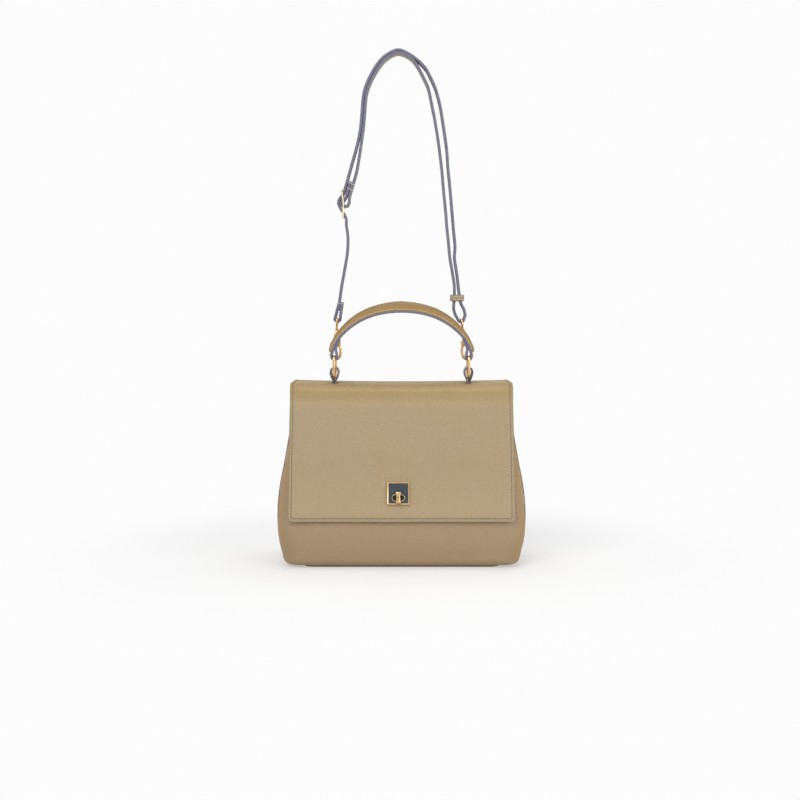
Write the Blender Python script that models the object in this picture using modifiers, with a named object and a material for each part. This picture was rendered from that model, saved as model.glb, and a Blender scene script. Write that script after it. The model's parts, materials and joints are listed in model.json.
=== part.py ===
# A top-handle leather shoulder bag: soft body, folding flap, turn lock, swaying handle
# and a long strap on two swivel snap hooks. Run it in Blender's text editor, or with
# blender --background --python part.py
# Frame: +Z up, the bag faces -Y, the origin is the centre of the base on the ground.
# All sizes below are millimetres, and meshes are written in metres.
import bpy
import bmesh
from math import asin, atan2, cos, degrees, pi, radians, sin
from mathutils import Matrix, Vector

MM = 0.001
GAP = 0.3                   # air between two pieces that touch

# Body walls: leather, a stiff board, and a cloth lining inside
LEATHER = 2.4
BOARD = 1.0
LINING = 1.2
MOUTH_Z = 224.0             # height of the open rim
TURN_RADIUS = 9.0           # lower edge, where the walls turn under the bag
CORNER_RADIUS = 24.0        # vertical corners, in plan
TURN_UNDER = 24.0           # width of wall that lies on the base
SEAM_PAST_CORNER = 5.0      # the front and rear panels wrap the corners this far
MOUTH_HALF_WIDTH = 135.0
FOOT_HALF_WIDTH = 150.4
MOUTH_FRONT = 36.0          # depth from the middle plane
FOOT_FRONT = 67.5
MOUTH_REAR = 35.0
FOOT_REAR = 66.0
# (height, how far the wall stands out from its foot), and higher up from its mouth
SIDE_OVER_FOOT = ((35, 4.9), (66, 6.6), (97, 4.6))
SIDE_UNDER_MOUTH = ((130, 14.2), (165, 8.6), (200, 3.2))
FRONT_OVER_FOOT = ((35, 2.5), (60, 2.7), (90, -0.5))
FRONT_UNDER_MOUTH = ((120, 26.0), (150, 20.0), (200, 8.5))
REAR_OVER_FOOT = ((35, 2.0), (60, 2.0), (90, -1.0))
REAR_UNDER_MOUTH = ((120, 25.3), (150, 19.3), (200, 7.6))
GUSSET_FOLD = 8.0           # how far the gusset draws in at the mouth
GUSSET_FOLD_FROM = 95.0     # height where the fold starts

# Base
BASE_SIDE_INSET = 26.4      # from the foot of the walls
BASE_DEPTH_INSET = 10.0
BASE_THICK = 2.5
BASE_CORNER = 14.0
BASE_BOARD_THICK = 2.0
BASE_BOARD_MARGIN = 2.0

# Flap
FLAP_HALF_WIDTH = 141.5
FLAP_TOP_Z = 232.0
FLAP_LEATHER = 2.2
FLAP_END_Z = 60.0
FLAP_CORNER = 5.0
RIDGE_RADIUS = 14.0
FLAP_STAND_OFF = 3.0        # air behind the flap at its lower end
FLAP_CLOSE_FIT = 0.6        # air behind the flap at the ridge
HINGE_Y = 38.0              # rear fold, the flap's hinge
HINGE_Z = 221.0
REAR_FOLD = 28.0            # degrees of the fold that turn with the flap
TAIL_TOP_Z = 209.0          # the flap's tail, sewn on the back
TAIL_BOTTOM_Z = 168.0
TAIL_HALF_WIDTH = 137.0

# Turn lock
LOCK_X = -4.0
LOCK_Z = 95.0
LOCK_SIDE = 28.0
LOCK_BORDER = 1.9
LOCK_FRAME_THICK = 2.4
LOCK_FACE_THICK = 1.7
SLOT_LENGTH = 15.2          # free oval in the flap plate
SLOT_HEIGHT = 7.4
SLOT_WALL = 0.55
SLOT_DROP = 5.6             # the oval lies this far below the plate's middle
SLOT_STAND = 0.6            # how far the oval rim stands over the face
LOCK_BACK_LENGTH = 26.0
LOCK_BACK_HEIGHT = 16.0
LOCK_BACK_THICK = 0.8
LOCK_BASE_LENGTH = 21.0
LOCK_BASE_HEIGHT = 13.0
LOCK_BASE_THICK = 1.2
LOCK_WASHER_THICK = 0.8
KNOB_HEIGHT = 14.4
KNOB_WIDTH = 7.0
KNOB_WAIST = 4.6
KNOB_THICK = 3.4
KNOB_NECK_DIAMETER = 5.2
KNOB_STAND = 0.8            # air between the oval rim and the knob

# Rings and the leather chapes that hold them
RING_HALF_SPAN = 87.0
RING_WIRE = 3.6
RING_INNER_WIDTH = 38.0
RING_PITCH = 27.4           # between the lower and upper bars
RING_CORNER = 3.5
RING_SEAT = 1.8             # air between the lower bar and the flap
CHAPE_LEATHER = 1.8
CHAPE_WIDTH = 28.0
CHAPE_LOOP_HALF = 5.1
CHAPE_LOOP_HEIGHT = 18.0    # over the flap
CHAPE_TAIL = 18.0
CHAPE_LEG = 1.3             # from the loop's middle to each leg's middle

# Handle
HANDLE_WIDTH = 18.0
HANDLE_LOOP_WIDTH = 17.0
HANDLE_STRAP = 3.0
HANDLE_RISE = 57.0          # from the upper ring bars to the arch's underside
HANDLE_DOME = 11.8
HANDLE_SHOULDER = 0.04      # share by which the arch's shoulders draw in
HANDLE_TAIL = 22.0          # the end folded up inside each ring reaches this high
HANDLE_PAD_FROM = 5.5       # the padded top starts this far over the ring bars
HANDLE_END_AIR = 2.2        # between the strap's edge and the ring's front upright
# (share of the way from an end to the middle, share of the dome's full height)
PAD_SHAPE = ((0.0, 0.32), (0.08, 0.29), (0.20, 0.40), (0.38, 0.58), (0.65, 0.82), (1.0, 1.0))

# Shoulder strap
STRAP_WIDTH = 18.0
STRAP_THICK = 3.4
STRAP_LAY = 0.5             # air between the two runs where they lie together
KEEPER_LEATHER = 2.2
KEEPER_HEIGHT = 8.6
KEEPER_UP = 28.0            # over the right eye's bar
KEEPER_PLAY = 1.3
SLIDER_WIRE = 2.4

# Snap hooks
HOOK_WIRE = 3.4
HOOK_PLAY = 0.6             # air between the ring's bar and the bow under it
HOOK_HALF_WIDTH = 6.3
HOOK_BOW_HEIGHT = 19.0
HOOK_NECK_HEIGHT = 6.0
HOOK_REACH = 49.0           # from the ring's bar to the eye's bar
HOOK_SIDE_AIR = 1.6         # between the hook and the ring's rear upright
HOOK_LEAN_LEFT = 3.5        # degrees, towards the middle of the bag
HOOK_LEAN_RIGHT = 10.5
BARREL_RADIUS = 3.7
BARREL_HEIGHT = 9.0
EYE_WIRE = 2.6
EYE_HEIGHT = 12.5
EYE_STEM = 3.0
GATE_THICK = 2.0
GATE_PIN = 1.4
GATE_PIN_PLAY = 0.2
GATE_TIP_HEIGHT = 1.6       # where the bow's nose ends, over the ring's bar

# Zip pocket on the rear lining
ZIP_LENGTH = 150.0
ZIP_Z = 172.0
ZIP_TAPE_HEIGHT = 22.0
ZIP_TAPE_THICK = 0.8
ZIP_TEETH_HEIGHT = 4.4
ZIP_TEETH_THICK = 1.2
ZIP_SLIDER_LENGTH = 9.0
ZIP_SLIDER_HEIGHT = 8.0
ZIP_SLIDER_THICK = 3.2
ZIP_PULL_LENGTH = 24.0

# Worked out from the sizes above
BOTTOM_Z = BASE_THICK + GAP
FOOT_Z = BOTTOM_Z + TURN_RADIUS
BOARD_DEPTH = LEATHER + GAP
LINING_DEPTH = BOARD_DEPTH + BOARD + 2.5 * GAP
FLAP_DEPTH = FLAP_LEATHER + GAP + LINING
BASE_HALF_WIDTH = FOOT_HALF_WIDTH - BASE_SIDE_INSET
BASE_HALF_DEPTH = min(FOOT_FRONT, FOOT_REAR) - BASE_DEPTH_INSET
RING_LOW_Z = FLAP_TOP_Z + RING_SEAT + RING_WIRE / 2
RING_HIGH_Z = RING_LOW_Z + RING_PITCH
HANDLE_LOOP = RING_WIRE / 2 + GAP + HANDLE_STRAP / 2
HANDLE_Y = -RING_INNER_WIDTH / 2 + HANDLE_END_AIR + HANDLE_LOOP_WIDTH / 2
BOW_LOW = -(RING_WIRE + HOOK_WIRE) / 2 - HOOK_PLAY
STRAP_Y = RING_INNER_WIDTH / 2 - HOOK_SIDE_AIR - HOOK_WIRE / 2

COLOURS = {
    "tan_leather": ((0.45, 0.34, 0.20), 0.50, 0.0),
    "edge_leather": ((0.19, 0.19, 0.25), 0.55, 0.0),
    "gold": ((0.83, 0.62, 0.33), 0.22, 1.0),
    "dark_plate": ((0.07, 0.085, 0.10), 0.15, 0.8),
    "cloth": ((0.32, 0.27, 0.21), 0.85, 0.0),
    "board": ((0.20, 0.16, 0.12), 0.90, 0.0),
}


def clear_scene():
    for obj in list(bpy.data.objects):
        bpy.data.objects.remove(obj, do_unlink=True)


def new_collection(name):
    made = bpy.data.collections.new(name)
    bpy.context.scene.collection.children.link(made)
    return made


def material(node, kind):
    """Each piece has its own material, so that one can be changed alone."""
    colour, rough, metal = COLOURS[kind]
    made = bpy.data.materials.new(node)
    made.use_nodes = True
    shader = made.node_tree.nodes["Principled BSDF"]
    shader.inputs["Base Color"].default_value = (*colour, 1.0)
    shader.inputs["Roughness"].default_value = rough
    shader.inputs["Metallic"].default_value = metal
    made.diffuse_color = (*colour, 1.0)
    return made


def add_piece(name, mesh, kind):
    obj = bpy.data.objects.new(name, mesh)
    mesh.materials.clear()
    mesh.materials.append(material(name, kind))
    bag.objects.link(obj)
    return obj


def add_helper(name, mesh):
    obj = bpy.data.objects.new(name, mesh)
    helpers.objects.link(obj)
    obj.hide_render = True
    obj.display_type = "WIRE"
    return obj


def boolean(obj, operation, other):
    modifier = obj.modifiers.new(operation.lower(), "BOOLEAN")
    modifier.operation = operation
    modifier.solver = "EXACT"
    modifier.object = other


def move_origin(obj, place):
    """Puts the object's origin on its joint's axis, and leaves its shape where it is."""
    obj.data.transform(Matrix.Translation(-Vector(place) * MM))
    obj.location = Vector(place) * MM


def shade(mesh, angle=35):
    mesh.shade_smooth()
    mesh.set_sharp_from_angle(angle=radians(angle))


# Outlines and paths

def between(stations, at):
    """Smooth value at a height, from (height, value) pairs in rising order."""
    last = len(stations) - 2
    i = 0
    while i < last and at > stations[i + 1][0]:
        i += 1
    x0, y0 = stations[i]
    x1, y1 = stations[i + 1]
    before = stations[max(i - 1, 0)]
    after = stations[min(i + 2, len(stations) - 1)]
    slope0 = (y1 - before[1]) / (x1 - before[0])
    slope1 = (after[1] - y0) / (after[0] - x0)
    t = min(max((at - x0) / (x1 - x0), 0.0), 1.0)
    step = x1 - x0
    rise = (2 * t**3 - 3 * t**2 + 1) * y0 + (3 * t**2 - 2 * t**3) * y1
    return rise + step * ((t**3 - 2 * t**2 + t) * slope0 + (t**3 - t**2) * slope1)


def arc(centre, radius, start, end, steps):
    """Points on a circle from one angle to another, both in degrees."""
    turns = [radians(start + (end - start) * i / steps) for i in range(steps + 1)]
    return [(centre[0] + radius * cos(a), centre[1] + radius * sin(a)) for a in turns]


def smooth_path(points, steps):
    """A curve through the points, with this many steps between each two."""
    path = []
    for i in range(len(points) - 1):
        p0 = Vector(points[max(i - 1, 0)])
        p1 = Vector(points[i])
        p2 = Vector(points[i + 1])
        p3 = Vector(points[min(i + 2, len(points) - 1)])
        for k in range(steps):
            t = k / steps
            path.append(tuple(0.5 * (2 * p1 + (p2 - p0) * t
                                     + (2 * p0 - 5 * p1 + 4 * p2 - p3) * t**2
                                     + (3 * p1 - p0 - 3 * p2 + p3) * t**3)))
    return path + [tuple(points[-1])]


def rounded_rectangle(half_x, half_y, radius, steps=4):
    """Corner points of a rounded rectangle, anticlockwise."""
    points = []
    for quarter, (sx, sy) in enumerate(((1, 1), (-1, 1), (-1, -1), (1, -1))):
        centre = (sx * (half_x - radius), sy * (half_y - radius))
        points += arc(centre, radius, 90 * quarter, 90 * quarter + 90, steps)
    return points


def oval(length, height, steps=8):
    """A slot outline with round ends, anticlockwise."""
    reach = (length - height) / 2
    right = arc((reach, 0), height / 2, -90, 90, steps)
    left = arc((-reach, 0), height / 2, 90, 270, steps)
    return right + left


# Solids

def grid_faces(bm, rows, closed):
    """Quads between neighbouring rows of vertices."""
    for low, high in zip(rows, rows[1:]):
        count = len(low)
        for i in range(count if closed else count - 1):
            j = (i + 1) % count
            bm.faces.new((low[i], low[j], high[j], high[i]))


def sheet(name, rows, thick, inside, kind, closed=False, floor=False, offset=-1.0):
    """A curved wall: an open surface with a thickness on the side of the inside point."""
    bm = bmesh.new()
    made = [[bm.verts.new(Vector(p) * MM) for p in row] for row in rows]
    grid_faces(bm, made, closed)
    if floor:
        bm.faces.new(list(reversed(made[0])))
    bm.normal_update()
    inner = Vector(inside) * MM
    out = sum((f.calc_center_median() - inner).normalized().dot(f.normal) * f.calc_area()
              for f in bm.faces)
    if out < 0:
        bmesh.ops.reverse_faces(bm, faces=bm.faces)
    mesh = bpy.data.meshes.new(name)
    bm.to_mesh(mesh)
    bm.free()
    shade(mesh)
    obj = add_piece(name, mesh, kind)
    wall = obj.modifiers.new("thickness", "SOLIDIFY")
    wall.thickness = thick * MM
    wall.offset = offset
    wall.use_even_offset = True
    return obj


def ribbon(name, path, middle_y, width, thick, kind, closed=False):
    """A flat strap whose path lies in the XZ plane and whose width runs along Y."""
    sides = (middle_y - width / 2, middle_y + width / 2)
    rows = [[(x, y, z) for x, z in path] for y in sides]
    bm = bmesh.new()
    made = [[bm.verts.new(Vector(p) * MM) for p in row] for row in rows]
    grid_faces(bm, made, closed)
    mesh = bpy.data.meshes.new(name)
    bm.to_mesh(mesh)
    bm.free()
    shade(mesh)
    obj = add_piece(name, mesh, kind)
    wall = obj.modifiers.new("thickness", "SOLIDIFY")
    wall.thickness = thick * MM
    wall.offset = 0.0
    wall.use_even_offset = True
    return obj


def tube_mesh(name, points, wire, closed=False, resolution=2):
    """A round wire along the points, as a mesh with its caps welded on."""
    curve = bpy.data.curves.new(name, "CURVE")
    curve.dimensions = "3D"
    curve.bevel_depth = wire / 2 * MM
    curve.bevel_resolution = resolution
    curve.use_fill_caps = True
    spline = curve.splines.new("POLY")
    spline.points.add(len(points) - 1)
    for point, place in zip(spline.points, points):
        point.co = (*(Vector(place) * MM), 1.0)
    spline.use_cyclic_u = closed
    guide = bpy.data.objects.new(name + "_guide", curve)
    helpers.objects.link(guide)
    bpy.context.view_layer.update()
    graph = bpy.context.evaluated_depsgraph_get()
    mesh = bpy.data.meshes.new_from_object(guide.evaluated_get(graph))
    bpy.data.objects.remove(guide, do_unlink=True)
    bm = bmesh.new()
    bm.from_mesh(mesh)
    bmesh.ops.remove_doubles(bm, verts=bm.verts, dist=1e-7)
    bmesh.ops.recalc_face_normals(bm, faces=bm.faces)
    bm.to_mesh(mesh)
    bm.free()
    shade(mesh)
    return mesh


def plate_mesh(name, outline, low, high, hole=None):
    """A flat plate from its outline in XY, between two heights, with an optional hole."""
    bm = bmesh.new()
    rings = []
    for loop in [outline] + ([hole] if hole else []):
        rings.append([bm.verts.new(Vector((x, y, low)) * MM) for x, y in loop])
        for i, vert in enumerate(rings[-1]):
            bm.edges.new((vert, rings[-1][(i + 1) % len(rings[-1])]))
    bmesh.ops.triangle_fill(bm, edges=bm.edges, use_beauty=True)
    made = bmesh.ops.extrude_face_region(bm, geom=list(bm.faces))
    moved = [v for v in made["geom"] if isinstance(v, bmesh.types.BMVert)]
    bmesh.ops.translate(bm, verts=moved, vec=Vector((0, 0, high - low)) * MM)
    bmesh.ops.recalc_face_normals(bm, faces=bm.faces)
    mesh = bpy.data.meshes.new(name)
    bm.to_mesh(mesh)
    bm.free()
    return mesh


def box_mesh(name, low, high):
    bm = bmesh.new()
    size = Vector(high) - Vector(low)
    middle = (Vector(high) + Vector(low)) / 2
    bmesh.ops.create_cube(bm, size=1.0)
    bmesh.ops.scale(bm, verts=bm.verts, vec=size * MM)
    bmesh.ops.translate(bm, verts=bm.verts, vec=middle * MM)
    mesh = bpy.data.meshes.new(name)
    bm.to_mesh(mesh)
    bm.free()
    return mesh


def rod_mesh(name, radius, low, high, segments=20):
    """An upright cylinder on the Z axis."""
    bm = bmesh.new()
    bmesh.ops.create_cone(bm, cap_ends=True, segments=segments, radius1=radius * MM,
                          radius2=radius * MM, depth=(high - low) * MM)
    bmesh.ops.translate(bm, verts=bm.verts, vec=Vector((0, 0, (low + high) / 2)) * MM)
    mesh = bpy.data.meshes.new(name)
    bm.to_mesh(mesh)
    bm.free()
    shade(mesh)
    return mesh


def turned(obj_name, profile, kind, steps=20):
    """A turned piece: the profile of (radius, height) runs from top to bottom."""
    bm = bmesh.new()
    verts = [bm.verts.new(Vector((r, 0, z)) * MM) for r, z in profile]
    for a, b in zip(verts, verts[1:]):
        bm.edges.new((a, b))
    mesh = bpy.data.meshes.new(obj_name)
    bm.to_mesh(mesh)
    bm.free()
    obj = add_piece(obj_name, mesh, kind) if kind else add_helper(obj_name, mesh)
    screw = obj.modifiers.new("turn", "SCREW")
    screw.steps = steps
    screw.render_steps = steps
    screw.use_merge_vertices = True
    screw.merge_threshold = 0.000001
    return obj


# Body

def wall_line(foot, over_foot, under_mouth, mouth):
    """(height, distance from the middle) of a wall from its foot to its mouth."""
    low = [(z, foot + out) for z, out in over_foot]
    high = [(z, mouth + out) for z, out in under_mouth]
    return [(FOOT_Z, foot), *low, *high, (MOUTH_Z, mouth)]


def wall_at(z):
    """Half width, front depth and rear depth of the body's outside at a height."""
    z = max(z, FOOT_Z)
    side = wall_line(FOOT_HALF_WIDTH, SIDE_OVER_FOOT, SIDE_UNDER_MOUTH, MOUTH_HALF_WIDTH)
    front = wall_line(FOOT_FRONT, FRONT_OVER_FOOT, FRONT_UNDER_MOUTH, MOUTH_FRONT)
    rear = wall_line(FOOT_REAR, REAR_OVER_FOOT, REAR_UNDER_MOUTH, MOUTH_REAR)
    return between(side, z), between(front, z), between(rear, z)


def fold_at(z):
    """How far the middle of the gusset is drawn in at a height."""
    share = (z - GUSSET_FOLD_FROM) / (MOUTH_Z - GUSSET_FOLD_FROM)
    share = min(max(share, 0.0), 1.0)
    return GUSSET_FOLD * share * share * (3 - 2 * share)


def wall_levels(depth, top, steps=11):
    """(height, inset) of each ring of a wall that lies this deep inside the leather."""
    rings = [(BOTTOM_Z + depth, TURN_RADIUS + TURN_UNDER)]
    for i in range(4):
        a = radians(30 * i)
        reach = TURN_RADIUS - depth
        rings.append((FOOT_Z - reach * cos(a), TURN_RADIUS - reach * sin(a)))
    rings += [(FOOT_Z + (top - FOOT_Z) * i / steps, depth) for i in range(1, steps + 1)]
    return rings


def corner_radius(inset):
    return max(CORNER_RADIUS - inset, 1.5)


def front_row(z, inset, sign=-1, steps=8):
    """One ring of the front panel, or of the rear panel with sign 1."""
    half, front, rear = wall_at(z)
    deep = (front if sign < 0 else rear) - inset
    half -= inset
    r = corner_radius(inset)
    points = [(-half, deep - r - SEAM_PAST_CORNER)]
    points += arc((-(half - r), deep - r), r, 180, 90, 4)
    points += [(-(half - r) + 2 * (half - r) * i / steps, deep) for i in range(1, steps)]
    points += arc((half - r, deep - r), r, 90, 0, 4)
    points.append((half, deep - r - SEAM_PAST_CORNER))
    return [(x, sign * y, z) for x, y in points]


def gusset_row(z, inset, side, steps=8, pouch=False):
    """One ring of a gusset from its front seam to its rear seam, or of the pouch inside it."""
    half, front, rear = wall_at(z)
    r = corner_radius(inset)
    start = -(front - inset - r - SEAM_PAST_CORNER) + GAP
    end = rear - inset - r - SEAM_PAST_CORNER - GAP
    flat = (end - start) * 0.12
    spots = [start] + [start + flat + (end - start - 2 * flat) * i / (steps - 2)
                       for i in range(steps - 1)] + [end]
    row = []
    for y in spots:
        t = (y - start - flat) / (end - start - 2 * flat)
        share = max(1 - (2 * t - 1) ** 2, 0.0) ** 2
        share = 1.0 if pouch and 0 <= t <= 1 else share
        row.append((side * (half - inset - fold_at(z) * share), y, z))
    return row


INSIDE = (0.0, 0.0, 110.0)


def make_panels():
    levels = wall_levels(0.0, MOUTH_Z)
    front = [front_row(z, inset) for z, inset in levels]
    sheet("front_panel", front, LEATHER, INSIDE, "tan_leather")
    rear = [front_row(z, inset, 1) for z, inset in levels]
    sheet("back_panel", rear, LEATHER, INSIDE, "tan_leather")
    for name, side in (("gusset_left", -1), ("gusset_right", 1)):
        rows = [gusset_row(z, inset, side) for z, inset in levels]
        sheet(name, rows, LEATHER, INSIDE, "tan_leather")


def make_base():
    outline = rounded_rectangle(BASE_HALF_WIDTH, BASE_HALF_DEPTH, BASE_CORNER)
    mesh = plate_mesh("base_panel", outline, 0.0, BASE_THICK)
    add_piece("base_panel", mesh, "tan_leather")
    low = BOTTOM_Z + LEATHER + GAP
    half = FOOT_HALF_WIDTH - TURN_RADIUS - BASE_BOARD_MARGIN
    deep = min(FOOT_FRONT, FOOT_REAR) - TURN_RADIUS - BASE_BOARD_MARGIN
    outline = rounded_rectangle(half, deep, BASE_CORNER)
    mesh = plate_mesh("base_board", outline, low, low + BASE_BOARD_THICK)
    add_piece("base_board", mesh, "board")


def make_boards():
    """Stiff boards between the leather and the lining, front and rear."""
    low = BOTTOM_Z + LEATHER + GAP + BASE_BOARD_THICK + TURN_RADIUS
    high = MOUTH_Z - 8.0
    for name, sign in (("front_stiffener", -1), ("rear_stiffener", 1)):
        rows = []
        for i in range(9):
            z = low + (high - low) * i / 8
            half, front, rear = wall_at(z)
            deep = (front if sign < 0 else rear) - BOARD_DEPTH
            flat = half - CORNER_RADIUS - 1.0
            rows.append([(flat * (k / 4 - 1), sign * deep, z) for k in range(9)])
        board = sheet(name, rows, BOARD, INSIDE, "board")
        if sign < 0:
            boolean(board, "DIFFERENCE", lock_cutter("board_window", LOCK_BASE_LENGTH + 2,
                                                     LOCK_BASE_HEIGHT + 2))


def make_lining():
    """The cloth pouch: four walls and a floor, open at the mouth."""
    floor = BOTTOM_Z + LEATHER + GAP + BASE_BOARD_THICK + GAP + LINING
    turn = FOOT_Z + 2.0
    levels = [(floor, LINING_DEPTH + 7.0), (floor + 2.0, LINING_DEPTH + 2.6)]
    top = MOUTH_Z - 3.0
    levels += [(turn + (top - turn) * i / 9, LINING_DEPTH) for i in range(10)]
    rows = []
    for z, inset in levels:
        row = front_row(z, inset)
        row += gusset_row(z, inset, 1, pouch=True)
        row += reversed(front_row(z, inset, 1))
        row += reversed(gusset_row(z, inset, -1, pouch=True))
        rows.append(row)
    lining = sheet("lining", rows, LINING, INSIDE, "cloth", closed=True, floor=True)
    return lining


# Flap

def flap_air(z):
    """Air between the body and the flap's lining, which grows towards the flap's end."""
    share = (MOUTH_Z - z) / (MOUTH_Z - LOCK_Z)
    share = min(max(share, 0.0), 1.0)
    return FLAP_CLOSE_FIT + (FLAP_STAND_OFF - FLAP_CLOSE_FIT) * share * share * (3 - 2 * share)


def flap_front(z):
    """Depth of the flap's outside in front of the middle plane, at a height."""
    return wall_at(z)[1] + flap_air(z) + FLAP_DEPTH


def flap_path(depth=0.0):
    """(y, z) along the flap's outside, from the hinge over the ridge to its lower end."""
    ridge_z = FLAP_TOP_Z - RIDGE_RADIUS
    lean = atan2(flap_front(ridge_z - 12) - flap_front(ridge_z), 12)
    ridge_y = -flap_front(ridge_z) + RIDGE_RADIUS * cos(lean)
    fold = FLAP_TOP_Z - HINGE_Z - depth
    rear = arc((HINGE_Y, HINGE_Z), fold, 90 - REAR_FOLD, 90, 3)[:-1]
    flat = rear + [(HINGE_Y + (ridge_y - HINGE_Y) * i / 5, FLAP_TOP_Z - depth) for i in range(5)]
    turn = arc((ridge_y, ridge_z), RIDGE_RADIUS - depth, 90, 180 - lean * 180 / pi, 6)
    start = turn[-1][1] - 8
    drop = []
    for i in range(12):
        z = start + (FLAP_END_Z - start) * i / 11
        drop.append((-(flap_front(z) - depth), z))
    return flat + turn + drop


def flap_rows(depth, margin):
    """Rings of the flap or its lining, narrowed at the round lower corners."""
    path = flap_path(depth)
    path[-1] = (path[-1][0], path[-1][1] + margin)
    end = path.pop()
    above = path[-1]
    for share in (0.0, 0.5, 0.8, 1.0):
        up = FLAP_CORNER * (1 - share)
        t = up / (above[1] - end[1])
        path.append((end[0] + (above[0] - end[0]) * t, end[1] + up))
    rows = []
    for i, (y, z) in enumerate(path):
        up = max(FLAP_CORNER - (z - end[1]), 0.0)
        half = FLAP_HALF_WIDTH - margin - FLAP_CORNER
        half += (FLAP_CORNER**2 - up**2) ** 0.5 if up < FLAP_CORNER else 0.0
        rows.append([(half * (k / 7 - 1), y, z) for k in range(15)])
    return rows


def make_flap():
    hinge = (0.0, HINGE_Y, HINGE_Z)
    skin = sheet("flap_leather", flap_rows(0.0, 0.0), FLAP_LEATHER, INSIDE, "tan_leather")
    under = FLAP_LEATHER + GAP
    lining = sheet("flap_lining", flap_rows(under, 2.0), LINING, INSIDE, "tan_leather")
    for obj in (skin, lining):
        boolean(obj, "DIFFERENCE", slot_cutter)
        for cutter in slit_cutters:
            boolean(obj, "DIFFERENCE", cutter)
        move_origin(obj, hinge)
    rows = []
    for i in range(5):
        z = TAIL_BOTTOM_Z + (TAIL_TOP_Z - TAIL_BOTTOM_Z) * i / 4
        y = wall_at(z)[2] + GAP + FLAP_LEATHER
        rows.append([(TAIL_HALF_WIDTH * (k / 5 - 1), y, z) for k in range(11)])
    sheet("flap_tail", rows, FLAP_LEATHER, INSIDE, "tan_leather")


# Turn lock, made lying flat with its outside up, then stood on the front

def lock_matrix():
    """Stands a piece made in XY on the flap's front: X stays, Y turns up, Z points out."""
    lean = atan2(flap_front(LOCK_Z - 12) - flap_front(LOCK_Z + 12), 24)
    turn = Matrix.Rotation(pi / 2 - lean, 4, "X")
    place = Vector((LOCK_X, -flap_front(LOCK_Z), LOCK_Z)) * MM
    return Matrix.Translation(place) @ turn


def lock_slot(length, height):
    return [(x, y - SLOT_DROP) for x, y in oval(length, height)]


def lock_cutter(name, length, height, reach=40.0):
    mesh = plate_mesh(name, lock_slot(length, height), -reach, reach)
    mesh.transform(lock_matrix())
    return add_helper(name, mesh)


def knob_outline():
    """A bow shape: two broad ends and a narrow waist."""
    half = KNOB_HEIGHT / 2
    wide = KNOB_WIDTH / 2
    waist = KNOB_WAIST / 2
    right = [(wide - 0.9, -half), (wide, -half + 1.1), (waist, 0.0),
             (wide, half - 1.1), (wide - 0.9, half)]
    right = smooth_path(right, 3)
    return right + [(-x, y) for x, y in reversed(right)]


def make_lock():
    """Depths here count outwards from the flap leather's outside."""
    stand = lock_matrix()
    half = LOCK_SIDE / 2
    inner = half - LOCK_BORDER
    frame = plate_mesh("lock_frame", rounded_rectangle(half, half, 0.8, 2), GAP,
                       GAP + LOCK_FRAME_THICK, rounded_rectangle(inner, inner, 0.4, 2))
    face_half = inner - GAP
    hole = lock_slot(SLOT_LENGTH + 2 * SLOT_WALL + 2 * GAP, SLOT_HEIGHT + 2 * SLOT_WALL + 2 * GAP)
    face = plate_mesh("lock_face", rounded_rectangle(face_half, face_half, 0.4, 2), GAP,
                      GAP + LOCK_FACE_THICK, hole)
    back_low = -FLAP_DEPTH - GAP - LOCK_BACK_THICK
    rim = plate_mesh("lock_oval_rim", lock_slot(SLOT_LENGTH + 2 * SLOT_WALL,
                                                SLOT_HEIGHT + 2 * SLOT_WALL),
                     back_low, GAP + LOCK_FACE_THICK + SLOT_STAND,
                     lock_slot(SLOT_LENGTH, SLOT_HEIGHT))
    back_outline = [(x, y - SLOT_DROP) for x, y in
                    rounded_rectangle(LOCK_BACK_LENGTH / 2, LOCK_BACK_HEIGHT / 2, 2.0, 3)]
    back = plate_mesh("lock_back_plate", back_outline, back_low, back_low + LOCK_BACK_THICK, hole)
    hinge = (0.0, HINGE_Y, HINGE_Z)
    for name, mesh, kind in (("lock_frame", frame, "gold"), ("lock_face", face, "dark_plate"),
                             ("lock_oval_rim", rim, "gold"), ("lock_back_plate", back, "gold")):
        mesh.transform(stand)
        move_origin(add_piece(name, mesh, kind), hinge)
    # on the body: a base plate outside the leather, and a washer plate inside it
    body = -FLAP_DEPTH - flap_air(LOCK_Z)
    low = body + GAP
    base = plate_mesh("lock_base", lock_slot(LOCK_BASE_LENGTH, LOCK_BASE_HEIGHT),
                      low, low + LOCK_BASE_THICK)
    deep = body - BOARD_DEPTH
    washer = plate_mesh("lock_washer", lock_slot(LOCK_BASE_LENGTH, LOCK_BASE_HEIGHT),
                        deep - LOCK_WASHER_THICK, deep)
    for name, mesh in (("lock_base", base), ("lock_washer", washer)):
        mesh.transform(stand)
        add_piece(name, mesh, "gold")
    neck_low = low + LOCK_BASE_THICK + GAP
    head_low = GAP + LOCK_FACE_THICK + SLOT_STAND + KNOB_STAND
    head = plate_mesh("turn_knob", knob_outline(), head_low, head_low + KNOB_THICK)
    neck = rod_mesh("knob_neck", KNOB_NECK_DIAMETER / 2, neck_low, head_low + 1.0)
    down = Matrix.Translation(Vector((0.0, -SLOT_DROP, 0.0)) * MM)
    for mesh in (head, neck):
        mesh.transform(stand @ down)
    knob = add_piece("turn_knob", head, "gold")
    boolean(knob, "UNION", add_helper("knob_neck", neck))
    place = stand @ down @ Vector((0.0, 0.0, head_low * MM))
    move_origin(knob, place / MM)


# Rings and chapes

def ring_points(middle_x):
    half_width = (RING_INNER_WIDTH + RING_WIRE) / 2
    loop = rounded_rectangle(half_width, RING_PITCH / 2, RING_CORNER, 3)
    middle_z = RING_LOW_Z + RING_PITCH / 2
    return [(middle_x, y, middle_z + z) for y, z in loop]


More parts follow.
